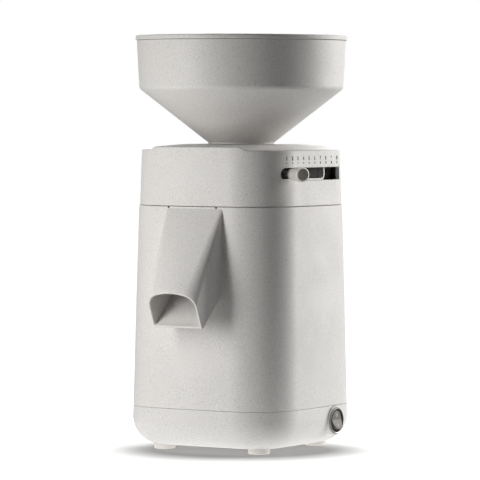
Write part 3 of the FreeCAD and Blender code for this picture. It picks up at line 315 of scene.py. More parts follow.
def shell(half_of, profile):
    """Closed wall that follows the casing, from an outline of (inset, height) points."""
    return skin([inset_ring(half_of, inset, z) for inset, z in profile], loop=True)


# Base tray: round-bottomed cup with vents, wells for the feet, and a collar round the switch

TRAY_ROUND = 25.5
SEAM_ROUND = 0.45
LOW_SEAM_ROUND = 0.12
LOW_SEAM_CLOSING = 0.25  # how far the housing's foot comes down to narrow its seam with the tray
FOOT_R = 9.8
SWITCH_Y = 25.5
SWITCH_Z = 26.0
SWITCH_FACE = 86.0
GLAND_X = -34.0
GLAND_Z = 24.0
GLAND_FACE = 85.6
FLOOR_INSETS = (76.0, 60.0, 40.0)
LIP_ROOT = 33.0
LIP_TOP = 43.5
LIP_INNER = 4.8
LIP_OUTER = 3.3
LIP_BEVEL = 0.3
BAY_R = 10.65
GLAND_BORE = 6.25
WELL_CLEARANCE = 0.05
WELL_DEPTH = 1.2
VENT_COUNT = 7
VENT_PITCH = 9.0
VENT_HALF = 26.0
VENT_R = 2.0
VENT_TURNS = 13
VENT_CUT = (2.0, 10.0)
SIDE_CUT = (60.0, 90.0)

# Outlines of (radius, height) from each ring's face
COLLAR = [(0.0, -20.0), (13.7, -20.0), (13.4, -4.0)] + arc_points(12.3, -1.0, 1.0, 0, 90, 5) + [(0.0, 0.0)]
GLAND_BOSS = [(0.0, -16.0), (14.0, -16.0), (12.6, -8.0), (11.6, -3.0)]
GLAND_BOSS += arc_points(10.4, -0.6, 0.6, 0, 90, 3) + [(0.0, 0.0)]


def tray_profile():
    """(inset, height) from the middle of the inner floor, over the lip and down to the middle outside."""
    floor_in, floor_out = FOOT_H + WALL, FOOT_H
    out = [(inset, floor_in) for inset in FLOOR_INSETS]
    inner = TRAY_ROUND - WALL
    out += [(x, z) for x, z in arc_points(WALL + inner, floor_in + inner, inner, 270, 180, 12)]
    out += [(WALL, LIP_ROOT), (LIP_INNER, LIP_ROOT + 0.5), (LIP_INNER, LIP_TOP - LIP_BEVEL)]
    out += [(LIP_INNER - LIP_BEVEL, LIP_TOP), (LIP_OUTER + LIP_BEVEL, LIP_TOP)]
    out += [(LIP_OUTER, LIP_TOP - LIP_BEVEL), (LIP_OUTER, TRAY_TOP), (LOW_SEAM_ROUND + 0.5, TRAY_TOP)]
    out += arc_points(LOW_SEAM_ROUND, TRAY_TOP - LOW_SEAM_ROUND, LOW_SEAM_ROUND, 90, 180, 4)
    out += [(0.0, TRAY_TOP - 2.0), (0.0, FOOT_H + TRAY_ROUND + 1.0)]
    out += arc_points(TRAY_ROUND, FOOT_H + TRAY_ROUND, TRAY_ROUND, 180, 270, 24)
    out += [(TRAY_ROUND + 1.5, floor_out), (FLOOR_INSETS[1], floor_out), (FLOOR_INSETS[0], floor_out)]
    return out


def cup(half_of, profile):
    return skin([inset_ring(half_of, inset, z) for inset, z in profile], caps=(True, True))


def vent_cutter(x):
    """Slot with round ends through the tray's floor."""
    ring = []
    for start, y in ((0, VENT_HALF), (180, -VENT_HALF)):
        for k in range(VENT_TURNS):
            t = math.radians(start + 180 / (VENT_TURNS - 1) * k)
            ring.append((x + VENT_R * math.cos(t), y + VENT_R * math.sin(t)))
    return skin([[(px, py, z) for px, py in ring] for z in VENT_CUT], caps=(True, True))


def make_tray():
    tray = build("tray_skin", *cup(casing_half, tray_profile()))
    collar_place = along((SWITCH_FACE, SWITCH_Y, SWITCH_Z), (1, 0, 0))
    cut(tray, *lathe(COLLAR, 72, loop=False, place=collar_place), operation="UNION")
    gland_place = along((GLAND_X, GLAND_FACE, GLAND_Z), (0, 1, 0))
    cut(tray, *lathe(GLAND_BOSS, 60, loop=False, place=gland_place), operation="UNION")
    cutters = [drum(BAY_R, *((x, SWITCH_Y, SWITCH_Z) for x in SIDE_CUT), 64)]
    cutters.append(drum(GLAND_BORE, *((GLAND_X, y, GLAND_Z) for y in SIDE_CUT), 48))
    for x, y in corner_spots(FOOT_SPREAD):
        cutters.append(drum(FOOT_R + WELL_CLEARANCE, (x, y, 0), (x, y, FOOT_H + WELL_DEPTH), 64))
        cutters.append(drum(SCREW_BORE, (x, y, 0), (x, y, TRAY_TOP), 24))
    cutters += [vent_cutter((i - VENT_COUNT // 2) * VENT_PITCH) for i in range(VENT_COUNT)]
    for points, faces in cutters:
        cut(tray, points, faces)
    return tray


# Main housing: tapered wall with rounded seam edges, posts inside and the way to the spout

SPOUT_HALF_IN = 20.8
CHANNEL_LOW = 148.5
CHANNEL_HIGH = 206.0
CHANNEL_CUT = (-100.0, -60.0)
LEDGE_IN = 4.0
LEDGE_OUT = 5.8
LEDGE_TOP = 223.0
LEDGE_ROOT = 215.0
POST_R = 5.5
POST_TOP = 168.3


def make_housing():
    top, low, r = HOUSING_TOP, HOUSING_LOW - LOW_SEAM_CLOSING, SEAM_ROUND
    slight = LOW_SEAM_ROUND
    outline = [(WALL, low), (slight + 0.5, low)] + arc_points(slight, low + slight, slight, 270, 180, 4)
    outline += [(0.0, z) for z in (low + 2.0, 80.0, 130.0, 180.0, top - 2.0)]
    outline += arc_points(r, top - r, r, 180, 90, 4) + [(r + 0.5, top), (LEDGE_IN, top)]
    outline += [(LEDGE_IN, LEDGE_TOP - LIP_BEVEL), (LEDGE_IN + LIP_BEVEL, LEDGE_TOP)]
    outline += [(LEDGE_OUT - LIP_BEVEL, LEDGE_TOP), (LEDGE_OUT, LEDGE_TOP - LIP_BEVEL)]
    outline += [(LEDGE_OUT, LEDGE_ROOT), (WALL, LEDGE_ROOT - WALL)]
    housing = build("housing_skin", *shell(casing_half, outline))
    cut(housing, *box_mesh(-SPOUT_HALF_IN, SPOUT_HALF_IN, *CHANNEL_CUT, CHANNEL_LOW, CHANNEL_HIGH))
    return housing


def make_posts():
    post = [(SCREW_BORE, HOUSING_LOW), (POST_R, HOUSING_LOW), (POST_R, POST_TOP), (SCREW_BORE, POST_TOP)]
    return build("housing_posts", *merged(*at_corners(lathe(post, 32), FOOT_SPREAD)))


# Head: wall, raised bridge across the roof, slot for the lever and socket for the hopper's neck

BRIDGE_FOOT = 53.0
BRIDGE_RUN = 10.0
BRIDGE_EDGE_RISE = 2.9
BRIDGE_CROWN = 2.1
CEILING = SHOULDER - WALL
TOP_ROUND = 1.1
NECK_HOLE = 26.8
NECK_CUT = (260.0, 280.0)
SLOT_HALF = 5.7
SLOT_START = 58.0
SLOT_END = 120.7
SLOT_STEPS = 40
SLOT_LAYERS = ((-14.0, 0.0), (-0.45, 0.0), (3.0, 3.45))
BRIDGE_REACH = 84.0
BRIDGE_SLOPE = 54.0
BRIDGE_EASE = 0.2
ROOF_EDGE = 0.8
SOCKET_LOW = 256.0
SOCKET_R = 29.8
STUD_LOW = 229.0
STUD_R = 4.5
STUD_SPREAD = 56.6
SINK = 0.2


def bridge_rise(y):
    """Rise of the bridge above the shoulders, easing into its level middle."""
    u = (BRIDGE_REACH - abs(y)) / BRIDGE_SLOPE
    if u < 1.0 - BRIDGE_EASE:
        share = u
    elif u < 1.0 + BRIDGE_EASE:
        share = u - (u - 1.0 + BRIDGE_EASE) ** 2 / (4 * BRIDGE_EASE)
    else:
        share = 1.0
    return BRIDGE_EDGE_RISE + BRIDGE_CROWN * share


def roof(x, y):
    """Height of the head's top: low shoulders, S curves and a raised middle."""
    across = abs(x)
    if across >= BRIDGE_FOOT:
        return SHOULDER
    rise = bridge_rise(y)
    lean = 2 * math.atan(rise / BRIDGE_RUN)
    radius = BRIDGE_RUN / (2 * math.sin(lean))
    top_x = BRIDGE_FOOT - BRIDGE_RUN
    if across <= top_x:
        return SHOULDER + rise
    if across >= BRIDGE_FOOT - BRIDGE_RUN / 2:
        run = BRIDGE_FOOT - across
        return SHOULDER + radius - math.sqrt(radius ** 2 - run ** 2)
    run = across - top_x
    return SHOULDER + rise - radius + math.sqrt(radius ** 2 - run ** 2)


def plan_radius(half, corner, lever_deg):
    """Distance from the axis to a plan outline in the direction of a lever angle."""
    a = math.radians(lever_deg)
    x, y = abs(math.sin(a)), abs(math.cos(a))
    shift, k, turn = plan_marks(half, corner)
    along_corner = k * (x + y)
    reach = along_corner + math.sqrt(along_corner ** 2 - 2 * k * k + corner ** 2)
    bearing = math.atan2(reach * y - k, reach * x - k)
    if turn <= bearing <= math.pi / 2 - turn:
        return reach
    major = max(x, y)
    return major * shift + math.sqrt((major * shift) ** 2 - shift ** 2 + BULGE ** 2)


def head_point(lever_deg, inset, z, out=0.0):
    """Point on the head's wall drawn in by inset, moved out along the radius by out."""
    reach = plan_radius(head_half(z) - inset, CORNER - inset, lever_deg) + out
    a = math.radians(lever_deg)
    return (reach * math.sin(a), -reach * math.cos(a), z)


def top_ring(inset, drop):
    """Ring just under the roof's edge: each point takes its height from the roof above it."""
    ring = inset_ring(head_half, inset, SHOULDER)
    return [(x, y, roof(x, y) - drop) for x, y, _ in ring]


def head_wall_rings():
    rings = []
    r = SEAM_ROUND
    outline = [(WALL, HEAD_LOW), (r + 0.5, HEAD_LOW)] + arc_points(r, HEAD_LOW + r, r, 270, 180, 4)
    outline += [(0.0, HEAD_LOW + 2.0), (0.0, 235.0), (0.0, 250.0), (0.0, 262.0)]
    for inset, z in outline:
        rings.append(inset_ring(head_half, inset, z))
    rings.append(top_ring(0.0, TOP_ROUND + ROOF_EDGE))
    for k in range(6):
        a = math.radians(18 * k)
        rings.append(top_ring(TOP_ROUND * (1 - math.cos(a)), TOP_ROUND * (1 - math.sin(a))))
    rings.append(top_ring(TOP_ROUND + ROOF_EDGE, 0.0))
    return rings


def roof_grid(ring, height_of, rows=28):
    """Columns from front to back that fill a symmetric ring; height_of gives each point's height."""
    count = len(ring)
    order = sorted(range(count), key=lambda i: (round(ring[i][0], 5), ring[i][1]))
    front = [i for i in order if ring[i][1] < 1e-6]
    columns = []
    for i in front:
        x, y, _ = ring[i]
        across = [y * (1 - 2 * (k / rows)) for k in range(rows + 1)]
        columns.append([(x, here, height_of(x, here)) for here in across])
    points = [p for column in columns for p in column]
    per = rows + 1
    faces = []
    for c in range(len(columns) - 1):
        for k in range(rows):
            a = c * per + k
            faces.append((a, a + 1, a + per + 1, a + per))
    return points, faces


def slot_cutter():
    """Columns of the slot from its round left end to its square right end.

    Each of SLOT_LAYERS is a reach from the wall and a growth of the slot there; the outer ones make a bevel.
    """
    per_mm = math.degrees(1 / plan_radius(head_half(LEVER_Z), CORNER, SLOT_START))
    columns = []
    for k in range(1, 13):
        a = math.radians(7.5 * k)
        radii = [SLOT_HALF + grow for _, grow in SLOT_LAYERS]
        columns.append([(SLOT_START - r * math.cos(a) * per_mm, r * math.sin(a)) for r in radii])
    for k in range(1, SLOT_STEPS + 1):
        deg = SLOT_START + (SLOT_END - SLOT_START) * k / SLOT_STEPS
        at_end = per_mm if k == SLOT_STEPS else 0.0
        columns.append([(deg + grow * at_end, SLOT_HALF + grow) for _, grow in SLOT_LAYERS])
    rings = []
    for column in columns:
        spots = [(deg, half, reach) for (deg, half), (reach, _) in zip(column, SLOT_LAYERS)]
        below = [head_point(deg, 0.0, LEVER_Z - half, reach) for deg, half, reach in spots]
        above = [head_point(deg, 0.0, LEVER_Z + half, reach) for deg, half, reach in spots]
        rings.append(below + above[::-1])
    return skin(rings, caps=(True, True))


def make_head():
    rings = head_wall_rings()
    wall = skin(rings)
    top = roof_grid(rings[-1], roof)
    inner_low = inset_ring(head_half, WALL, HEAD_LOW)
    inner_high = inset_ring(head_half, WALL, CEILING)
    inner = skin([inner_high, inner_low])
    ceiling = roof_grid(inner_high, lambda x, y: CEILING, rows=4)
    head = build("head_skin", *merged(wall, top, inner, ceiling))
    cut(head, *drum(NECK_HOLE, *((0, 0, z) for z in NECK_CUT), 96))
    cut(head, *slot_cutter())
    return head


def make_socket():
    top = CEILING + SINK
    tube = [(NECK_HOLE, SOCKET_LOW), (SOCKET_R, SOCKET_LOW), (SOCKET_R, top), (NECK_HOLE, top)]
    post = [(SCREW_BORE, STUD_LOW), (STUD_R, STUD_LOW), (STUD_R, top), (SCREW_BORE, top)]
    return build("head_socket", *merged(lathe(tube, 96), *at_corners(lathe(post, 32), STUD_SPREAD)))


# Pale rail along the foot of the slot, which turns up into a stop

RAIL_START = 56.0
RAIL_END = 105.1
RAIL_THICK = 1.6
RAIL_TOP = LEVER_Z - SLOT_HALF + 1.5
RAIL_BEND = 4.4
RAIL_DEG_PER_MM = 0.63
RAIL_FOOT = LEVER_Z - SLOT_HALF - 4.0
RAIL_HEAD = LEVER_Z + SLOT_HALF + 2.0
RAIL_MIDDLE = 254.0
RAIL_STEPS = 60
RAIL_NEAR = WALL + 0.06
RAIL_FAR = WALL + 1.2


def make_rail():
    low, high = [], []
    outer = RAIL_BEND + RAIL_THICK
    turn_start = RAIL_END - outer * RAIL_DEG_PER_MM
    for k in range(RAIL_STEPS + 1):
        deg = RAIL_START + (turn_start - RAIL_START) * k / RAIL_STEPS
        low.append((deg, RAIL_FOOT))
        high.append((deg, RAIL_TOP))
    centre_z = RAIL_TOP + RAIL_BEND
    for k in range(11):
        a = math.radians(270 + 9 * k)
        for side, r in ((low, outer), (high, RAIL_BEND)):
            side.append((turn_start + r * math.cos(a) * RAIL_DEG_PER_MM, centre_z + r * math.sin(a)))
    for z in (RAIL_MIDDLE, RAIL_HEAD):
        low.append((RAIL_END, z))
        high.append((RAIL_END - RAIL_THICK * RAIL_DEG_PER_MM, z))
    rings = []
    for (low_deg, low_z), (high_deg, high_z) in zip(low, high):
        rings.append([head_point(low_deg, RAIL_NEAR, low_z), head_point(high_deg, RAIL_NEAR, high_z),
                      head_point(high_deg, RAIL_FAR, high_z), head_point(low_deg, RAIL_FAR, low_z)])
    return build("rail_skin", *skin(rings, caps=(True, True)))


# Flour spout: square root that narrows to an arched mouth, with a rounded rim round its channel

ROOT_Y = -80.1
ROOT_LOW = 144.4
ROOT_TOP = 220.1
ROOT_CORNER = 3.0
ROOT_CROWN = 600.0
SPOUT_ROOT = dict(half=29.8, height=ROOT_TOP - ROOT_LOW, corner=ROOT_CORNER, crown=ROOT_CROWN)
SPOUT_MOUTH = dict(half=26.0, corner=14.0, crown=60.0)
LIP = Vector((0.0, -107.2, 113.5))
APEX = Vector((0.0, -122.1, 146.7))
SPOUT_WALL = 2.5
SPOUT_RIM = 1.1
SPOUT_SHARP_DEG = 50.0


def arch(half, height, corner, crown):
    """Closed outline (x, h): flat floor, straight sides, round shoulders and a crowned top."""
    centre = height - crown
    x = half - corner
    rise = math.sqrt((crown - corner) ** 2 - x ** 2)
    lean = math.atan2(x, rise)
    shoulder_h = centre + rise
    side = []
    for k in range(8):
        side.append((half, shoulder_h * k / 8))
    for k in range(13):
        a = math.pi / 2 - (math.pi / 2 - lean) * k / 12
        side.append((x + corner * math.sin(a), shoulder_h + corner * math.cos(a)))
    for k in range(1, 16):
        a = lean * (1 - k / 16)
        side.append((crown * math.sin(a), centre + crown * math.cos(a)))
    right = side + [(0.0, height)]
    floor = [(half * (k / 8 - 1), 0.0) for k in range(1, 16)]
    left = [(-px, ph) for px, ph in reversed(side)]
    return right + left + floor


def between(first, second, share):
    return [tuple(Vector(a).lerp(Vector(b), share)) for a, b in zip(first, second)]


def make_spout():
    up = (APEX - LIP).normalized()
    mouth_height = (APEX - LIP).length
    out = Vector((0.0, -up.z, up.y))
    root = [(x, ROOT_Y, ROOT_LOW + h) for x, h in arch(**SPOUT_ROOT)]

    def mouth_ring(inset, back):
        sizes = {name: size - inset for name, size in SPOUT_MOUTH.items()}
        flat = arch(height=mouth_height - 2 * inset, **sizes)
        return [tuple(LIP + up * (h + inset) + Vector((x, 0, 0)) - out * back) for x, h in flat]

    rim = SPOUT_RIM
    outer_mouth = mouth_ring(0.0, 0.0)
    rings = [between(root, outer_mouth, k / 20) for k in range(20)]
    run = (Vector(outer_mouth[0]) - Vector(root[0])).length
    rings.append(between(root, outer_mouth, 1 - (rim + 0.6) / run))
    rings.append(between(root, outer_mouth, 1 - rim / run))
    for k in range(1, 6):
        a = math.radians(18 * k)
        rings.append(mouth_ring(rim * (1 - math.sin(math.pi / 2 - a)), rim * (1 - math.sin(a))))
    for k in range(1, 6):
        a = math.radians(18 * k)
        rings.append(mouth_ring(SPOUT_WALL - rim + rim * math.sin(a), rim * (1 - math.cos(a))))
    channel_mouth = mouth_ring(SPOUT_WALL, rim)
    channel_root = [(x, ROOT_Y + WALL, CHANNEL_LOW + h)
                    for x, h in arch(SPOUT_HALF_IN, CHANNEL_HIGH - CHANNEL_LOW, ROOT_CORNER, ROOT_CROWN)]
    rings += [between(channel_mouth, channel_root, k / 12) for k in range(1, 13)]
    return build("spout_skin", *skin(rings, loop=True), sharp_deg=SPOUT_SHARP_DEG)


# Hopper and lid, turned about the axis

CONE_R = 28.4
SHOULDER_R = 92.8
RIM_R = 95.2
RIM_TOP = 370.4
HOPPER_WALL = 2.5
HOPPER_FOOT = SEAT + 0.15
HOPPER_SHOULDER = SEAT + 50.4
PAD_R = 30.0
PAD_THICK = 1.8
NECK_R = 26.5
NECK_IN = 24.0
TURN_STEPS = 192
HOPPER_ROUNDS = {0: 0.4, 1: 0.5, 2: 0.8, 4: 0.5, 5: 0.5, 7: 6.0, 8: 0.6, 9: 0.6, 10: 3.5, 11: 3.0}
LID_R = 96.2
LID_LOW = 370.7
LID_TOP = 375.0
LID_RIB_DROP = 4.0
LID_RIB_IN = 90.1
LID_RIB_OUT = 92.1
LID_ROUNDS = {2: 0.4, 3: 0.4, 5: 0.5, 6: 1.5}
NEAR_AXIS = 0.01


def make_hopper():
    spread, rise = SHOULDER_R - CONE_R, HOPPER_SHOULDER - HOPPER_FOOT
    lift = HOPPER_WALL / math.sin(math.atan2(spread, rise))
    slope = rise / spread
    neck_in_z = HOPPER_FOOT + lift + (NECK_IN - CONE_R) * slope
    outline = [(18.0, 241.3), (18.0, 250.3), (NECK_R, 250.3), (NECK_R, HOPPER_FOOT), (PAD_R, HOPPER_FOOT),
               (PAD_R, HOPPER_FOOT + PAD_THICK), (CONE_R + PAD_THICK / slope, HOPPER_FOOT + PAD_THICK),
               (SHOULDER_R, HOPPER_SHOULDER), (RIM_R, RIM_TOP), (RIM_R - HOPPER_WALL, RIM_TOP),
               (SHOULDER_R - HOPPER_WALL, HOPPER_SHOULDER + lift - HOPPER_WALL * slope), (NECK_IN, neck_in_z),
               (NECK_IN, 254.3), (15.5, 246.3), (15.5, 241.3)]
    profile = rounded(outline, HOPPER_ROUNDS, steps=7, hold=0.8)
    return build("hopper_skin", *lathe(profile, TURN_STEPS))


def make_lid():
    rib = LID_LOW - LID_RIB_DROP
    outline = [(NEAR_AXIS, LID_LOW), (LID_RIB_IN, LID_LOW), (LID_RIB_IN, rib), (LID_RIB_OUT, rib),
               (LID_RIB_OUT, LID_LOW), (LID_R, LID_LOW), (LID_R, LID_TOP), (NEAR_AXIS, LID_TOP)]
    profile = rounded(outline, LID_ROUNDS, steps=6, hold=0.8)
    return build("lid_skin", *lathe(profile, TURN_STEPS))


# Feet, lever knob and its cap

SCREW_HEAD_WELL = 4.15
FOOT_BORE = 2.1
FOOT_SEAT = 4.1
KNOB_START = 88.5
KNOB_LENGTH = 19.5
KNOB_BORE = 3.05
KNOB_ROOT_R = 4.9
KNOB_END_R = 6.6
CAP_RECESS_R = 5.35
CAP_R = 5.28
CAP_RECESS = 1.2


def make_feet():
    top = FOOT_H + WELL_DEPTH
    outline = [(SCREW_HEAD_WELL, 0.0), (FOOT_R, 0.0), (FOOT_R, top), (FOOT_BORE, top), (FOOT_BORE, FOOT_SEAT),
               (SCREW_HEAD_WELL, FOOT_SEAT)]
    profile = rounded(outline, {0: 0.4, 1: 1.2}, steps=5)
    return build("foot_pads", *merged(*at_corners(lathe(profile, 64), FOOT_SPREAD)))


def lever_place(start):
    a = math.radians(LEVER_DEG)
    return along((start * math.sin(a), -start * math.cos(a), LEVER_Z), (math.sin(a), -math.cos(a), 0))


def make_knob():
    floor = KNOB_LENGTH - CAP_RECESS
    outline = [(KNOB_BORE, 0.0), (KNOB_ROOT_R, 0.0), (KNOB_END_R, KNOB_LENGTH), (CAP_RECESS_R, KNOB_LENGTH),
               (CAP_RECESS_R, floor), (KNOB_BORE, floor)]
    profile = rounded(outline, {1: 0.5, 2: 0.6, 3: 0.15}, steps=5, hold=0.3)
    return build("knob_skin", *lathe(profile, 96, place=lever_place(KNOB_START)))


def make_cap():
    outline = [(NEAR_AXIS, -CAP_RECESS), (CAP_R, -CAP_RECESS), (CAP_R, -0.12), (NEAR_AXIS, -0.3)]
    profile = rounded(outline, {2: 0.15}, steps=3, hold=0.2)
    return build("cap_skin", *lathe(profile, 72, place=lever_place(KNOB_START + KNOB_LENGTH)))


# Rocker switch and cord gland

BEZEL_R = 12.0
BEZEL_IN = 10.66
BODY_R = 10.6
BODY_DEPTH = 20.0
BLADE_ENDS = (58.0, 66.2)
BLADE_HALF_WIDE = 2.4
BLADE_HALF_THICK = 0.4
BLADE_SPREAD = 5.0


def switch_place(x):
    return along((x, SWITCH_Y, SWITCH_Z), (1, 0, 0))


def make_bezel():
    outline = [(BEZEL_IN, 0.0), (BEZEL_R, 0.0), (BEZEL_R, 0.7), (11.4, 1.4), (BEZEL_IN, 1.1)]
    profile = rounded(outline, {2: 0.3, 3: 0.25}, steps=4, hold=0.1)
    return build("bezel_skin", *lathe(profile, 96, place=switch_place(SWITCH_FACE)))


def make_switch_body():
    outline = [(NEAR_AXIS, 0.0), (BODY_R, 0.0), (BODY_R, 20.7), (9.5, 20.7), (9.2, 20.3), (9.2, 12.7),
               (NEAR_AXIS, 12.7)]
    body = lathe(rounded(outline, {1: 0.5}, steps=3), 72, place=switch_place(SWITCH_FACE - BODY_DEPTH))
    blades = []
    for z in (SWITCH_Z - BLADE_SPREAD, SWITCH_Z + BLADE_SPREAD):
        blades.append(box_mesh(*BLADE_ENDS, SWITCH_Y - BLADE_HALF_WIDE, SWITCH_Y + BLADE_HALF_WIDE,
                               z - BLADE_HALF_THICK, z + BLADE_HALF_THICK))
    return build("switch_shell", *merged(body, *blades))


ROCKER_R = 8.5
ROCKER_TILT = 11.0
ROCKER_STEPS = 72
ROCKER_THICK = 2.2
ROCKER_RIDGE = 0.5
PIVOT_X = SWITCH_FACE - 1.5
AXLE_R = 1.2
AXLE_HALF = 10.0
ROCKER_SHARP_DEG = 40.0
MARK_LIFT = 0.02


def rocker_point(x, y, z):
    """Place of a point given from the rocker's pivot before it is tilted to its rest."""
    c, s = math.cos(-math.radians(ROCKER_TILT)), math.sin(-math.radians(ROCKER_TILT))
    return PIVOT_X + x * c + z * s, SWITCH_Y + y, SWITCH_Z - x * s + z * c


def make_rocker():
    """Disc with a shallow V face, pressed in at the top, and an axle through its middle."""
    rings = []
    for r, back in ((ROCKER_R - 0.5, -3.0), (ROCKER_R, -2.5)):
        rings.append([(back, r * math.cos(a), r * math.sin(a)) for a in circle(ROCKER_STEPS)])
    edge = [(ROCKER_R, 0.55), (ROCKER_R - 0.16, 0.16), (ROCKER_R - 0.55, 0.0), (ROCKER_R - 1.0, 0.0)]
    face = [((ROCKER_R - 1.0) * share, 0.0) for share in (0.75, 0.5, 0.25, 0.05)]
    for r, sink in edge + face:
        flat = [(r * math.cos(a), r * math.sin(a)) for a in circle(ROCKER_STEPS)]
        rings.append([(ROCKER_THICK + face_rise(z) - sink, y, z) for y, z in flat])
    points, faces = skin(rings, caps=(True, True))
    tilted = [rocker_point(*point) for point in points]
    axle = drum(AXLE_R, *((PIVOT_X, SWITCH_Y + y, SWITCH_Z) for y in (-AXLE_HALF, AXLE_HALF)), 24)
    return build("rocker_skin", *merged((tilted, faces), axle), sharp_deg=ROCKER_SHARP_DEG)


def face_rise(z):
    """Rise of the rocker's face above its middle line, rounded where its two halves meet."""
    return math.sqrt(z * z + ROCKER_RIDGE) * math.tan(math.radians(ROCKER_TILT))


def make_rocker_marks():
    """Ring and bar on the two halves of the rocker's face."""
    lift = ROCKER_THICK + MARK_LIFT
    parts = []
    for z, outer, inner, squeeze in ((4.6, 1.5, 1.1, 1.0), (-4.6, 1.5, 0.0, 0.2)):
        places = []
        for r in (outer, inner):
            flat = [(r * squeeze * math.cos(a), z + r * math.sin(a)) for a in circle(32)]
            places.append([rocker_point(lift + face_rise(up), y, up) for y, up in flat])
        parts.append(skin(places) if inner else (places[0], [tuple(range(32))]))
    return build("rocker_marks", *merged(*parts))


GLAND_IN = 3.6
GLAND_R = 6.2
GLAND_HEAD_R = 8.6
GLAND_HEAD = 2.6
GLAND_LENGTH = 15.0


def make_gland():
    outline = [(GLAND_IN, -GLAND_LENGTH), (GLAND_R, -GLAND_LENGTH), (GLAND_R, 0.0), (GLAND_HEAD_R, 0.0),
               (GLAND_HEAD_R, GLAND_HEAD), (GLAND_IN, GLAND_HEAD)]
    profile = rounded(outline, {0: 0.5, 1: 0.4, 4: 0.8, 5: 0.7}, steps=4)
    place = along((GLAND_X, GLAND_FACE, GLAND_Z), (0, 1, 0))
    return build("gland_skin", *lathe(profile, 64, place=place))


# Printed scale above the slot: the numbers 1 to 10 with a dot of growing size under each

DIGIT_Z = 264.2
DIGIT_SIZE = 3.1 * 1.36
DIGIT_BOLD = 0.34
DIGIT_NARROW = 0.72
DOT_Z = 260.2
DOT_LEAST = 0.5
DOT_GROWTH = 0.085
DOT_NARROW = 0.8
INK_LIFT = 0.05
PIN_R = 0.8
PIN_XS = (-27.0, 23.0)
PIN_YS = (-80.6, -79.0)
PIN_Z = 220.3
DIGIT_DEG = (58.6, 63.2, 68.5, 74.8, 81.4, 88.5, 95.7, 102.9, 109.9, 117.1)


def mark_frame(lever_deg, z):
    """Point on the head's wall with its directions along the wall, up and out."""
    here = Vector(head_point(lever_deg, 0.0, z))
    ahead = Vector(head_point(lever_deg + 0.2, 0.0, z))
    above = Vector(head_point(lever_deg, 0.0, z + 0.5))
    along_wall = (ahead - here).normalized()
    up = (above - here).normalized()
    return here, along_wall, up, along_wall.cross(up)


def digit_mesh(number):
    """Flat outline of a number, as vertex places and faces."""
    text = bpy.data.curves.new("digit", "FONT")
    text.body = str(number)
    text.size = DIGIT_SIZE
    text.align_x = "CENTER"
    text.align_y = "CENTER"
    text.offset = DIGIT_BOLD
    text.resolution_u = 4
    holder = put("digit", text)
    graph = bpy.context.evaluated_depsgraph_get()
    mesh = bpy.data.meshes.new_from_object(holder.evaluated_get(graph))
    spots = [(v.co.x, v.co.y) for v in mesh.vertices]
    faces = [tuple(p.vertices) for p in mesh.polygons]
    bpy.data.objects.remove(holder)
    bpy.data.curves.remove(text)
    bpy.data.meshes.remove(mesh)
    return spots, faces


def printed(spots, faces, lever_deg, z):
    """Lays a flat outline on the head's wall, a little proud of it."""
    here, along_wall, up, out = mark_frame(lever_deg, z)
    return [tuple(here + along_wall * x + up * y + out * INK_LIFT) for x, y in spots], faces


def make_scale():
    parts = []
    for number, deg in enumerate(DIGIT_DEG, start=1):
        spots, faces = digit_mesh(number)
        parts.append(printed([(x * DIGIT_NARROW, y) for x, y in spots], faces, deg, DIGIT_Z))
        dot = DOT_LEAST + DOT_GROWTH * number
        ring = [(dot * DOT_NARROW * math.cos(a), dot * math.sin(a)) for a in circle(20)]
        parts.append(printed(ring, [tuple(range(20))], deg, DOT_Z))
    return build("scale_marks", *merged(*parts))


def make_pins():
    """Two small pins on the ledge at the top of the spout."""
    parts = [drum(PIN_R, *((x, y, PIN_Z) for y in PIN_YS), 16) for x in PIN_XS]
    return build("spout_pins", *merged(*parts))


# Materials; sizes inside them are in millimetres and turned into texture scales per metre

def shader(name):
    material = bpy.data.materials.new(name)
    material.use_nodes = True
    nodes, links = material.node_tree.nodes, material.node_tree.links
    nodes.clear()
    out = nodes.new("ShaderNodeOutputMaterial")
    main = nodes.new("ShaderNodeBsdfPrincipled")
    links.new(main.outputs["BSDF"], out.inputs["Surface"])
    place = nodes.new("ShaderNodeTexCoord")
    return material, nodes, links, main, place.outputs["Object"]


def noise(nodes, links, place, size_mm, detail=3.0, roughness=0.55, stretch=(1.0, 1.0, 1.0)):
    spread = nodes.new("ShaderNodeMapping")
    spread.inputs["Scale"].default_value = stretch
    links.new(place, spread.inputs["Vector"])
    texture = nodes.new("ShaderNodeTexNoise")
    texture.inputs["Scale"].default_value = 1000.0 / size_mm
    texture.inputs["Detail"].default_value = detail
    texture.inputs["Roughness"].default_value = roughness
    links.new(spread.outputs["Vector"], texture.inputs["Vector"])
    return texture.outputs["Fac"]


def ramp(nodes, links, value, stops):
    """Colours over a value; stops are (position, colour)."""
    node = nodes.new("ShaderNodeValToRGB")
    bar = node.color_ramp.elements
    while len(bar) < len(stops):
        bar.new(0.5)
    for element, (position, colour) in zip(bar, stops):
        element.position = position
        element.color = (*colour, 1.0)
    links.new(value, node.inputs["Fac"])
    return node.outputs["Color"]


def shade(colour, factor):
    return tuple(min(c * factor, 1.0) for c in colour)


def remap(nodes, links, value, low, high, low_to, high_to):
    node = nodes.new("ShaderNodeMapRange")
    for socket, number in (("From Min", low), ("From Max", high), ("To Min", low_to), ("To Max", high_to)):
        node.inputs[socket].default_value = number
    links.new(value, node.inputs["Value"])
    return node.outputs["Result"]


def add_bump(nodes, links, main, height, depth_mm, strength=1.0):
    bump = nodes.new("ShaderNodeBump")
    bump.inputs["Strength"].default_value = strength
    bump.inputs["Distance"].default_value = depth_mm * MM
    links.new(height, bump.inputs["Height"])
    links.new(bump.outputs["Normal"], main.inputs["Normal"])
    return bump


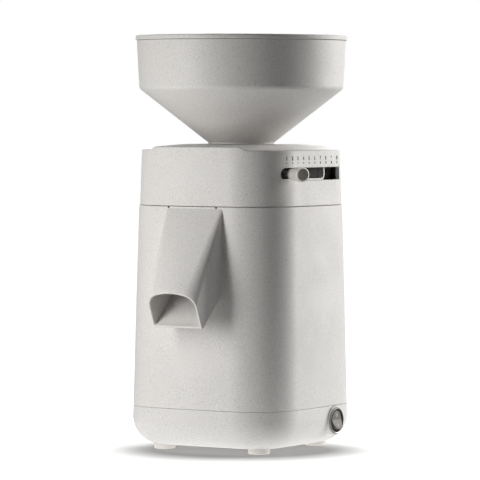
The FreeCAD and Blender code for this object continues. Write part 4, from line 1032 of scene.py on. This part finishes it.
def moulded(name, colour, grain_mm=0.9, contrast=0.05, rough=0.5, depth_mm=0.03, gloss=0.45):
    """Moulded plastic: fine grain in colour and height, and slow patches of roughness."""
    material, nodes, links, main, place = shader(name)
    fine = noise(nodes, links, place, grain_mm)
    broad = noise(nodes, links, place, 22.0, detail=2.0)
    tint = ramp(nodes, links, fine, [(0.3, shade(colour, 1 - contrast)), (0.7, shade(colour, 1 + contrast))])
    links.new(tint, main.inputs["Base Color"])
    links.new(remap(nodes, links, broad, 0.35, 0.65, rough - 0.04, rough + 0.04), main.inputs["Roughness"])
    main.inputs["Specular IOR Level"].default_value = gloss
    add_bump(nodes, links, main, fine, depth_mm)
    return material


def flecked(name, colour):
    """Fibre-filled plastic: fine pale grain with sparse darker flecks, slightly rough to the touch."""
    material, nodes, links, main, place = shader(name)
    fine = noise(nodes, links, place, 1.1, detail=4.0, roughness=0.7)
    tint = ramp(nodes, links, fine, [(0.3, shade(colour, 0.8)), (0.5, colour), (0.7, shade(colour, 1.12))])
    fibres = noise(nodes, links, place, 1.5, detail=1.0, roughness=0.5, stretch=(1.0, 1.0, 0.7))
    mask = remap(nodes, links, fibres, 0.66, 0.78, 0.0, 0.5)
    mix = nodes.new("ShaderNodeMix")
    mix.data_type = "RGBA"
    links.new(mask, mix.inputs["Factor"])
    links.new(tint, mix.inputs["A"])
    mix.inputs["B"].default_value = (*shade(colour, 0.55), 1.0)
    links.new(mix.outputs["Result"], main.inputs["Base Color"])
    broad = noise(nodes, links, place, 30.0, detail=2.0)
    links.new(remap(nodes, links, broad, 0.35, 0.65, 0.46, 0.54), main.inputs["Roughness"])
    main.inputs["Specular IOR Level"].default_value = 0.42
    add_bump(nodes, links, main, fine, 0.035)
    return material


def metal(name, colour, rough=0.3, grain_mm=0.5, stretch=(1.0, 1.0, 1.0), depth_mm=0.01, metallic=1.0):
    """Bare or plated metal with fine tool marks that run across the stretched way."""
    material, nodes, links, main, place = shader(name)
    marks = noise(nodes, links, place, grain_mm, detail=2.0, stretch=stretch)
    links.new(ramp(nodes, links, marks, [(0.3, shade(colour, 0.93)), (0.7, shade(colour, 1.05))]),
              main.inputs["Base Color"])
    main.inputs["Metallic"].default_value = metallic
    links.new(remap(nodes, links, marks, 0.3, 0.7, rough - 0.06, rough + 0.06), main.inputs["Roughness"])
    add_bump(nodes, links, main, marks, depth_mm)
    return material


def banded(name, colour, pitch_mm, direction, metallic, rough, depth_mm):
    """Stacked sheets or wound wire: even bands with dark lines between them."""
    material, nodes, links, main, place = shader(name)
    bands = nodes.new("ShaderNodeTexWave")
    bands.bands_direction = direction
    bands.wave_profile = "SIN"
    bands.inputs["Scale"].default_value = 2 * math.pi / 20 * 1000.0 / pitch_mm
    bands.inputs["Distortion"].default_value = 0.4
    links.new(place, bands.inputs["Vector"])
    lines = bands.outputs["Fac"]
    tint = ramp(nodes, links, lines, [(0.05, shade(colour, 0.45)), (0.45, colour), (1.0, shade(colour, 1.1))])
    links.new(tint, main.inputs["Base Color"])
    main.inputs["Metallic"].default_value = metallic
    links.new(remap(nodes, links, lines, 0.0, 1.0, rough + 0.15, rough), main.inputs["Roughness"])
    add_bump(nodes, links, main, lines, depth_mm)
    return material


def sintered(name, colour):
    """Milling stone: coarse grains of two shades with open pores."""
    material, nodes, links, main, place = shader(name)
    cells = nodes.new("ShaderNodeTexVoronoi")
    cells.inputs["Scale"].default_value = 700.0
    links.new(place, cells.inputs["Vector"])
    fine = noise(nodes, links, place, 0.7, detail=5.0, roughness=0.75)
    tint = ramp(nodes, links, fine, [(0.25, shade(colour, 0.7)), (0.5, colour), (0.75, shade(colour, 1.1))])
    links.new(tint, main.inputs["Base Color"])
    main.inputs["Roughness"].default_value = 0.92
    first = add_bump(nodes, links, main, cells.outputs["Distance"], 0.25, 0.7)
    second = add_bump(nodes, links, main, fine, 0.15, 0.6)
    links.new(first.outputs["Normal"], second.inputs["Normal"])
    return material


CASING = (0.665, 0.652, 0.635)
finishes = {
    "casing": flecked("casing", CASING),
    "foot_pad": moulded("foot_pad", (0.66, 0.64, 0.6), grain_mm=0.6, rough=0.7, depth_mm=0.02, gloss=0.3),
    "inner_plastic": moulded("inner_plastic", (0.075, 0.075, 0.08)),
    "dark_plastic": moulded("dark_plastic", (0.028, 0.026, 0.025), rough=0.75, gloss=0.12),
    "pale_plastic": moulded("pale_plastic", (0.74, 0.72, 0.69), contrast=0.03),
    "screw_steel": metal("screw_steel", (0.55, 0.55, 0.56), rough=0.32),
    "plate_steel": metal("plate_steel", (0.42, 0.42, 0.43), rough=0.38, stretch=(1.0, 12.0, 1.0)),
    "plate_aluminium": metal("plate_aluminium", (0.6, 0.6, 0.61), rough=0.48, grain_mm=1.4, depth_mm=0.05),
    "head_frame": moulded("head_frame", (0.05, 0.05, 0.055)),
    "seal_rubber": moulded("seal_rubber", (0.016, 0.016, 0.016), grain_mm=0.7, rough=0.75, gloss=0.25),
    "lamination": banded("lamination", (0.2, 0.205, 0.215), 0.5, "Z", 0.9, 0.38, 0.05),
    "copper": banded("copper", (0.62, 0.25, 0.1), 0.7, "Z", 0.85, 0.3, 0.15),
    "bearing_steel": metal("bearing_steel", (0.62, 0.62, 0.63), rough=0.16, depth_mm=0.003),
    "shaft_steel": metal("shaft_steel", (0.5, 0.5, 0.51), rough=0.28, stretch=(1.0, 1.0, 14.0)),
    "capacitor_can": moulded("capacitor_can", (0.64, 0.64, 0.61), contrast=0.02, rough=0.3, depth_mm=0.01),
    "lead_blue": moulded("lead_blue", (0.01, 0.035, 0.26), rough=0.4),
    "lead_brown": moulded("lead_brown", (0.075, 0.022, 0.008), rough=0.4),
    "bezel_metal": metal("bezel_metal", (0.2, 0.195, 0.19), rough=0.24, depth_mm=0.002),
    "rocker_plastic": moulded("rocker_plastic", (0.12, 0.11, 0.098), contrast=0.06, rough=0.42,
                              depth_mm=0.008, gloss=0.2),
    "lever_metal": metal("lever_metal", (0.8, 0.78, 0.75), rough=0.48, grain_mm=0.8, metallic=0.45),
    "cap_plastic": moulded("cap_plastic", (0.27, 0.245, 0.22), rough=0.55, gloss=0.3),
    "stone": sintered("stone", (0.74, 0.69, 0.6)),
}

slot_of = {entry["node"]: entry["material_slot"] for entry in frame["record"]["subparts"]}
for node, solid in frame["nodes"].items():
    solid.data.materials.clear()
    solid.data.materials.append(finishes[slot_of[node]])


# The outer pieces, each in place of the solid it stands for

def outfit(piece, body, slot, node=None):
    """Gives a piece its material, its body and the solid it stands for, if there is one."""
    piece.data.materials.clear()
    piece.data.materials.append(finishes[slot])
    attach(piece, body)
    if node:
        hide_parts(node)


OUTFITS = (
    (make_tray, "housing", "base_tray"),
    (make_housing, "housing", "main_housing"),
    (make_posts, "housing", "main_housing"),
    (make_spout, "housing", "flour_spout"),
    (make_feet, "housing", "feet"),
    (make_bezel, "housing", "switch_bezel"),
    (make_switch_body, "housing", "switch_body"),
    (make_gland, "housing", "cord_gland"),
    (make_head, "head", "head_shell"),
    (make_socket, "head", "head_shell"),
    (make_rail, "head", "slot_rail"),
    (make_knob, "adjuster", "lever_knob"),
    (make_cap, "adjuster", "knob_cap"),
    (make_hopper, "hopper_unit", "hopper"),
    (make_lid, "lid", "hopper_lid"),
    (make_rocker, "rocker", "switch_rocker"),
)
for make, body, node in OUTFITS:
    outfit(make(), body, slot_of[node], node)

# Printed marks and pins, which no solid stands for
EXTRAS = (
    (make_rocker_marks, "rocker", "pale_plastic"),
    (make_scale, "head", "dark_plastic"),
    (make_pins, "housing", "dark_plastic"),
)
for make, body, slot in EXTRAS:
    outfit(make(), body, slot)


# Floor, light and camera; sizes here are in metres

VIEW_DEG = 31.5
view = math.radians(VIEW_DEG)
RIGHT = Vector((math.cos(view), math.sin(view), 0.0))
NEAR = Vector((math.sin(view), -math.cos(view), 0.0))
AXIS = Vector((AXIS_X, AXIS_Y, 0.0)) * MM
FLOOR_REACH = 9.0
# Painted shadow on the floor: near the object the camera sees less glow and a darker grey, fading out over
# the patch's reach
SHADOW_PATCH_REACH = (0.1, 0.085)
SHADOW_PATCH_NEAR = 0.03
SHADOW_PATCH_FADE = (0.8, 1.7)
PAINTED_SHADOW_GREYS = (0.3, 0.8)
GLOW_REACH = (0.3, 0.3)
GLOW_FADE = (0.2, 1.0)
FLOOR_GLOW = 0.95
PAINTED_SHADOW_GLOW = 0.1
FLOOR_WHITE = 1.0
FLOOR_BOUNCE = 0.4
WORLD_LIGHT = 0.012
WORLD_TINT = (1.0, 0.99, 0.97, 1.0)
LIGHT_TINT = (1.0, 0.99, 0.975)
WHITE = (1.0, 1.0, 1.0, 1.0)
CAMERA_RANGE = 3.236
CAMERA_HEIGHT = 0.311
TARGET_HEIGHT = 0.1888
TARGET_SHIFT = -0.0009
LENS = 266.3
SENSOR = 36.0
CLIP_END = 40.0
ROLL_DEG = 0.13


def from_axis(lateral, near, z):
    """Place measured from the milling axis, to the camera's right and toward it."""
    return tuple(AXIS + RIGHT * lateral + NEAR * near + Vector((0, 0, z)))


def toward(azimuth_deg, distance, z):
    """Place at an angle round the axis from the camera's side, positive to the right."""
    a = math.radians(azimuth_deg)
    return from_axis(distance * math.sin(a), distance * math.cos(a), z)


def floor_patch(nodes, links, place, reach, near):
    """Distance from the axis on the floor, as a share of a reach to the side and toward the camera."""
    turn = nodes.new("ShaderNodeMapping")
    turn.vector_type = "TEXTURE"
    turn.inputs["Location"].default_value = from_axis(0.0, near, 0.0)
    turn.inputs["Rotation"].default_value = (0.0, 0.0, view)
    turn.inputs["Scale"].default_value = (*reach, 1.0)
    links.new(place, turn.inputs["Vector"])
    length = nodes.new("ShaderNodeVectorMath")
    length.operation = "LENGTH"
    links.new(turn.outputs["Vector"], length.inputs[0])
    return length.outputs["Value"]


def make_floor():
    """Wide pale floor with a soft shadow, partly real and partly a painted shadow patch seen only by the
    camera near the object; a glow near the object, unseen by the camera, lights it from below.
    """
    mesh = bpy.data.meshes.new("floor")
    corners = [(-1, -1), (1, -1), (1, 1), (-1, 1)]
    mesh.from_pydata([(x * FLOOR_REACH, y * FLOOR_REACH, 0) for x, y in corners], [], [(0, 1, 2, 3)])
    floor = put("floor", mesh)
    material, nodes, links, main, place = shader("floor")
    main.inputs["Roughness"].default_value = 0.7
    main.inputs["Specular IOR Level"].default_value = 0.2
    main.inputs["Emission Color"].default_value = WHITE
    rays = nodes.new("ShaderNodeLightPath")
    under = floor_patch(nodes, links, place, SHADOW_PATCH_REACH, SHADOW_PATCH_NEAR)
    # Painted shadow: the glow seen by the camera drops near the object
    seen = remap(nodes, links, under, *SHADOW_PATCH_FADE, PAINTED_SHADOW_GLOW, FLOOR_WHITE)
    around = floor_patch(nodes, links, place, GLOW_REACH, 0.0)
    bounce = remap(nodes, links, around, *GLOW_FADE, FLOOR_GLOW, 0.0)
    glow = nodes.new("ShaderNodeMix")
    links.new(rays.outputs["Is Camera Ray"], glow.inputs["Factor"])
    links.new(bounce, glow.inputs["A"])
    links.new(seen, glow.inputs["B"])
    links.new(glow.outputs["Result"], main.inputs["Emission Strength"])
    # Painted shadow: the grey seen by the camera darkens near the object
    painted_shadow_grey = remap(nodes, links, under, *SHADOW_PATCH_FADE, *PAINTED_SHADOW_GREYS)
    grey = nodes.new("ShaderNodeMix")
    links.new(rays.outputs["Is Camera Ray"], grey.inputs["Factor"])
    grey.inputs["A"].default_value = FLOOR_BOUNCE
    links.new(painted_shadow_grey, grey.inputs["B"])
    links.new(grey.outputs["Result"], main.inputs["Base Color"])
    mesh.materials.append(material)


def larger(nodes, links, first, second):
    node = nodes.new("ShaderNodeMath")
    node.operation = "MAXIMUM"
    links.new(first, node.inputs[0])
    links.new(second, node.inputs[1])
    return node.outputs["Value"]


def make_world():
    """Dim even light for the object, and white behind it for the camera and in reflections."""
    world = bpy.data.worlds.new("studio")
    bpy.context.scene.world = world
    world.use_nodes = True
    nodes, links = world.node_tree.nodes, world.node_tree.links
    nodes.clear()
    out = nodes.new("ShaderNodeOutputWorld")
    rays = nodes.new("ShaderNodeLightPath")
    dim = nodes.new("ShaderNodeBackground")
    dim.inputs["Color"].default_value = WORLD_TINT
    dim.inputs["Strength"].default_value = WORLD_LIGHT
    white = nodes.new("ShaderNodeBackground")
    white.inputs["Color"].default_value = WHITE
    seen = larger(nodes, links, rays.outputs["Is Camera Ray"], rays.outputs["Is Glossy Ray"])
    mask = larger(nodes, links, seen, rays.outputs["Is Transmission Ray"])
    mix = nodes.new("ShaderNodeMixShader")
    links.new(mask, mix.inputs["Fac"])
    links.new(dim.outputs["Background"], mix.inputs[1])
    links.new(white.outputs["Background"], mix.inputs[2])
    links.new(mix.outputs["Shader"], out.inputs["Surface"])


def softbox(name, place, aim, size, watts):
    light = bpy.data.lights.new(name, "AREA")
    light.shape = "RECTANGLE"
    light.size, light.size_y = size
    light.energy = watts
    light.color = LIGHT_TINT
    lamp = put(name, light)
    lamp.location = place
    lamp.rotation_euler = (Vector(aim) - Vector(place)).to_track_quat("-Z", "Y").to_euler()
    lamp.visible_camera = False


make_floor()
make_world()
softbox("key_strip", place=toward(-54, 0.42, 0.23), aim=from_axis(0, 0, 0.23), size=(0.12, 0.44), watts=1.29)
softbox("side_box", place=toward(110, 1.0, 0.42), aim=from_axis(0, 0, 0.22), size=(0.6, 0.8), watts=10.5)
softbox("back_box", place=from_axis(0.05, -0.75, 1.25), aim=from_axis(0, 0, 0.2), size=(1.0, 1.0), watts=15.0)

target = Vector(from_axis(TARGET_SHIFT, 0.0, TARGET_HEIGHT))
eye = Vector(from_axis(TARGET_SHIFT, CAMERA_RANGE, CAMERA_HEIGHT))
camera_data = bpy.data.cameras.new("camera")
camera_data.lens = LENS
camera_data.sensor_width = SENSOR
camera_data.clip_end = CLIP_END
camera = put("camera", camera_data)
facing = (target - eye).to_track_quat("-Z", "Y")
camera.location = eye
camera.rotation_euler = (facing @ Matrix.Rotation(math.radians(ROLL_DEG), 4, "Z").to_quaternion()).to_euler()
bpy.context.scene.camera = camera
bpy.context.scene.view_settings.view_transform = "Standard"
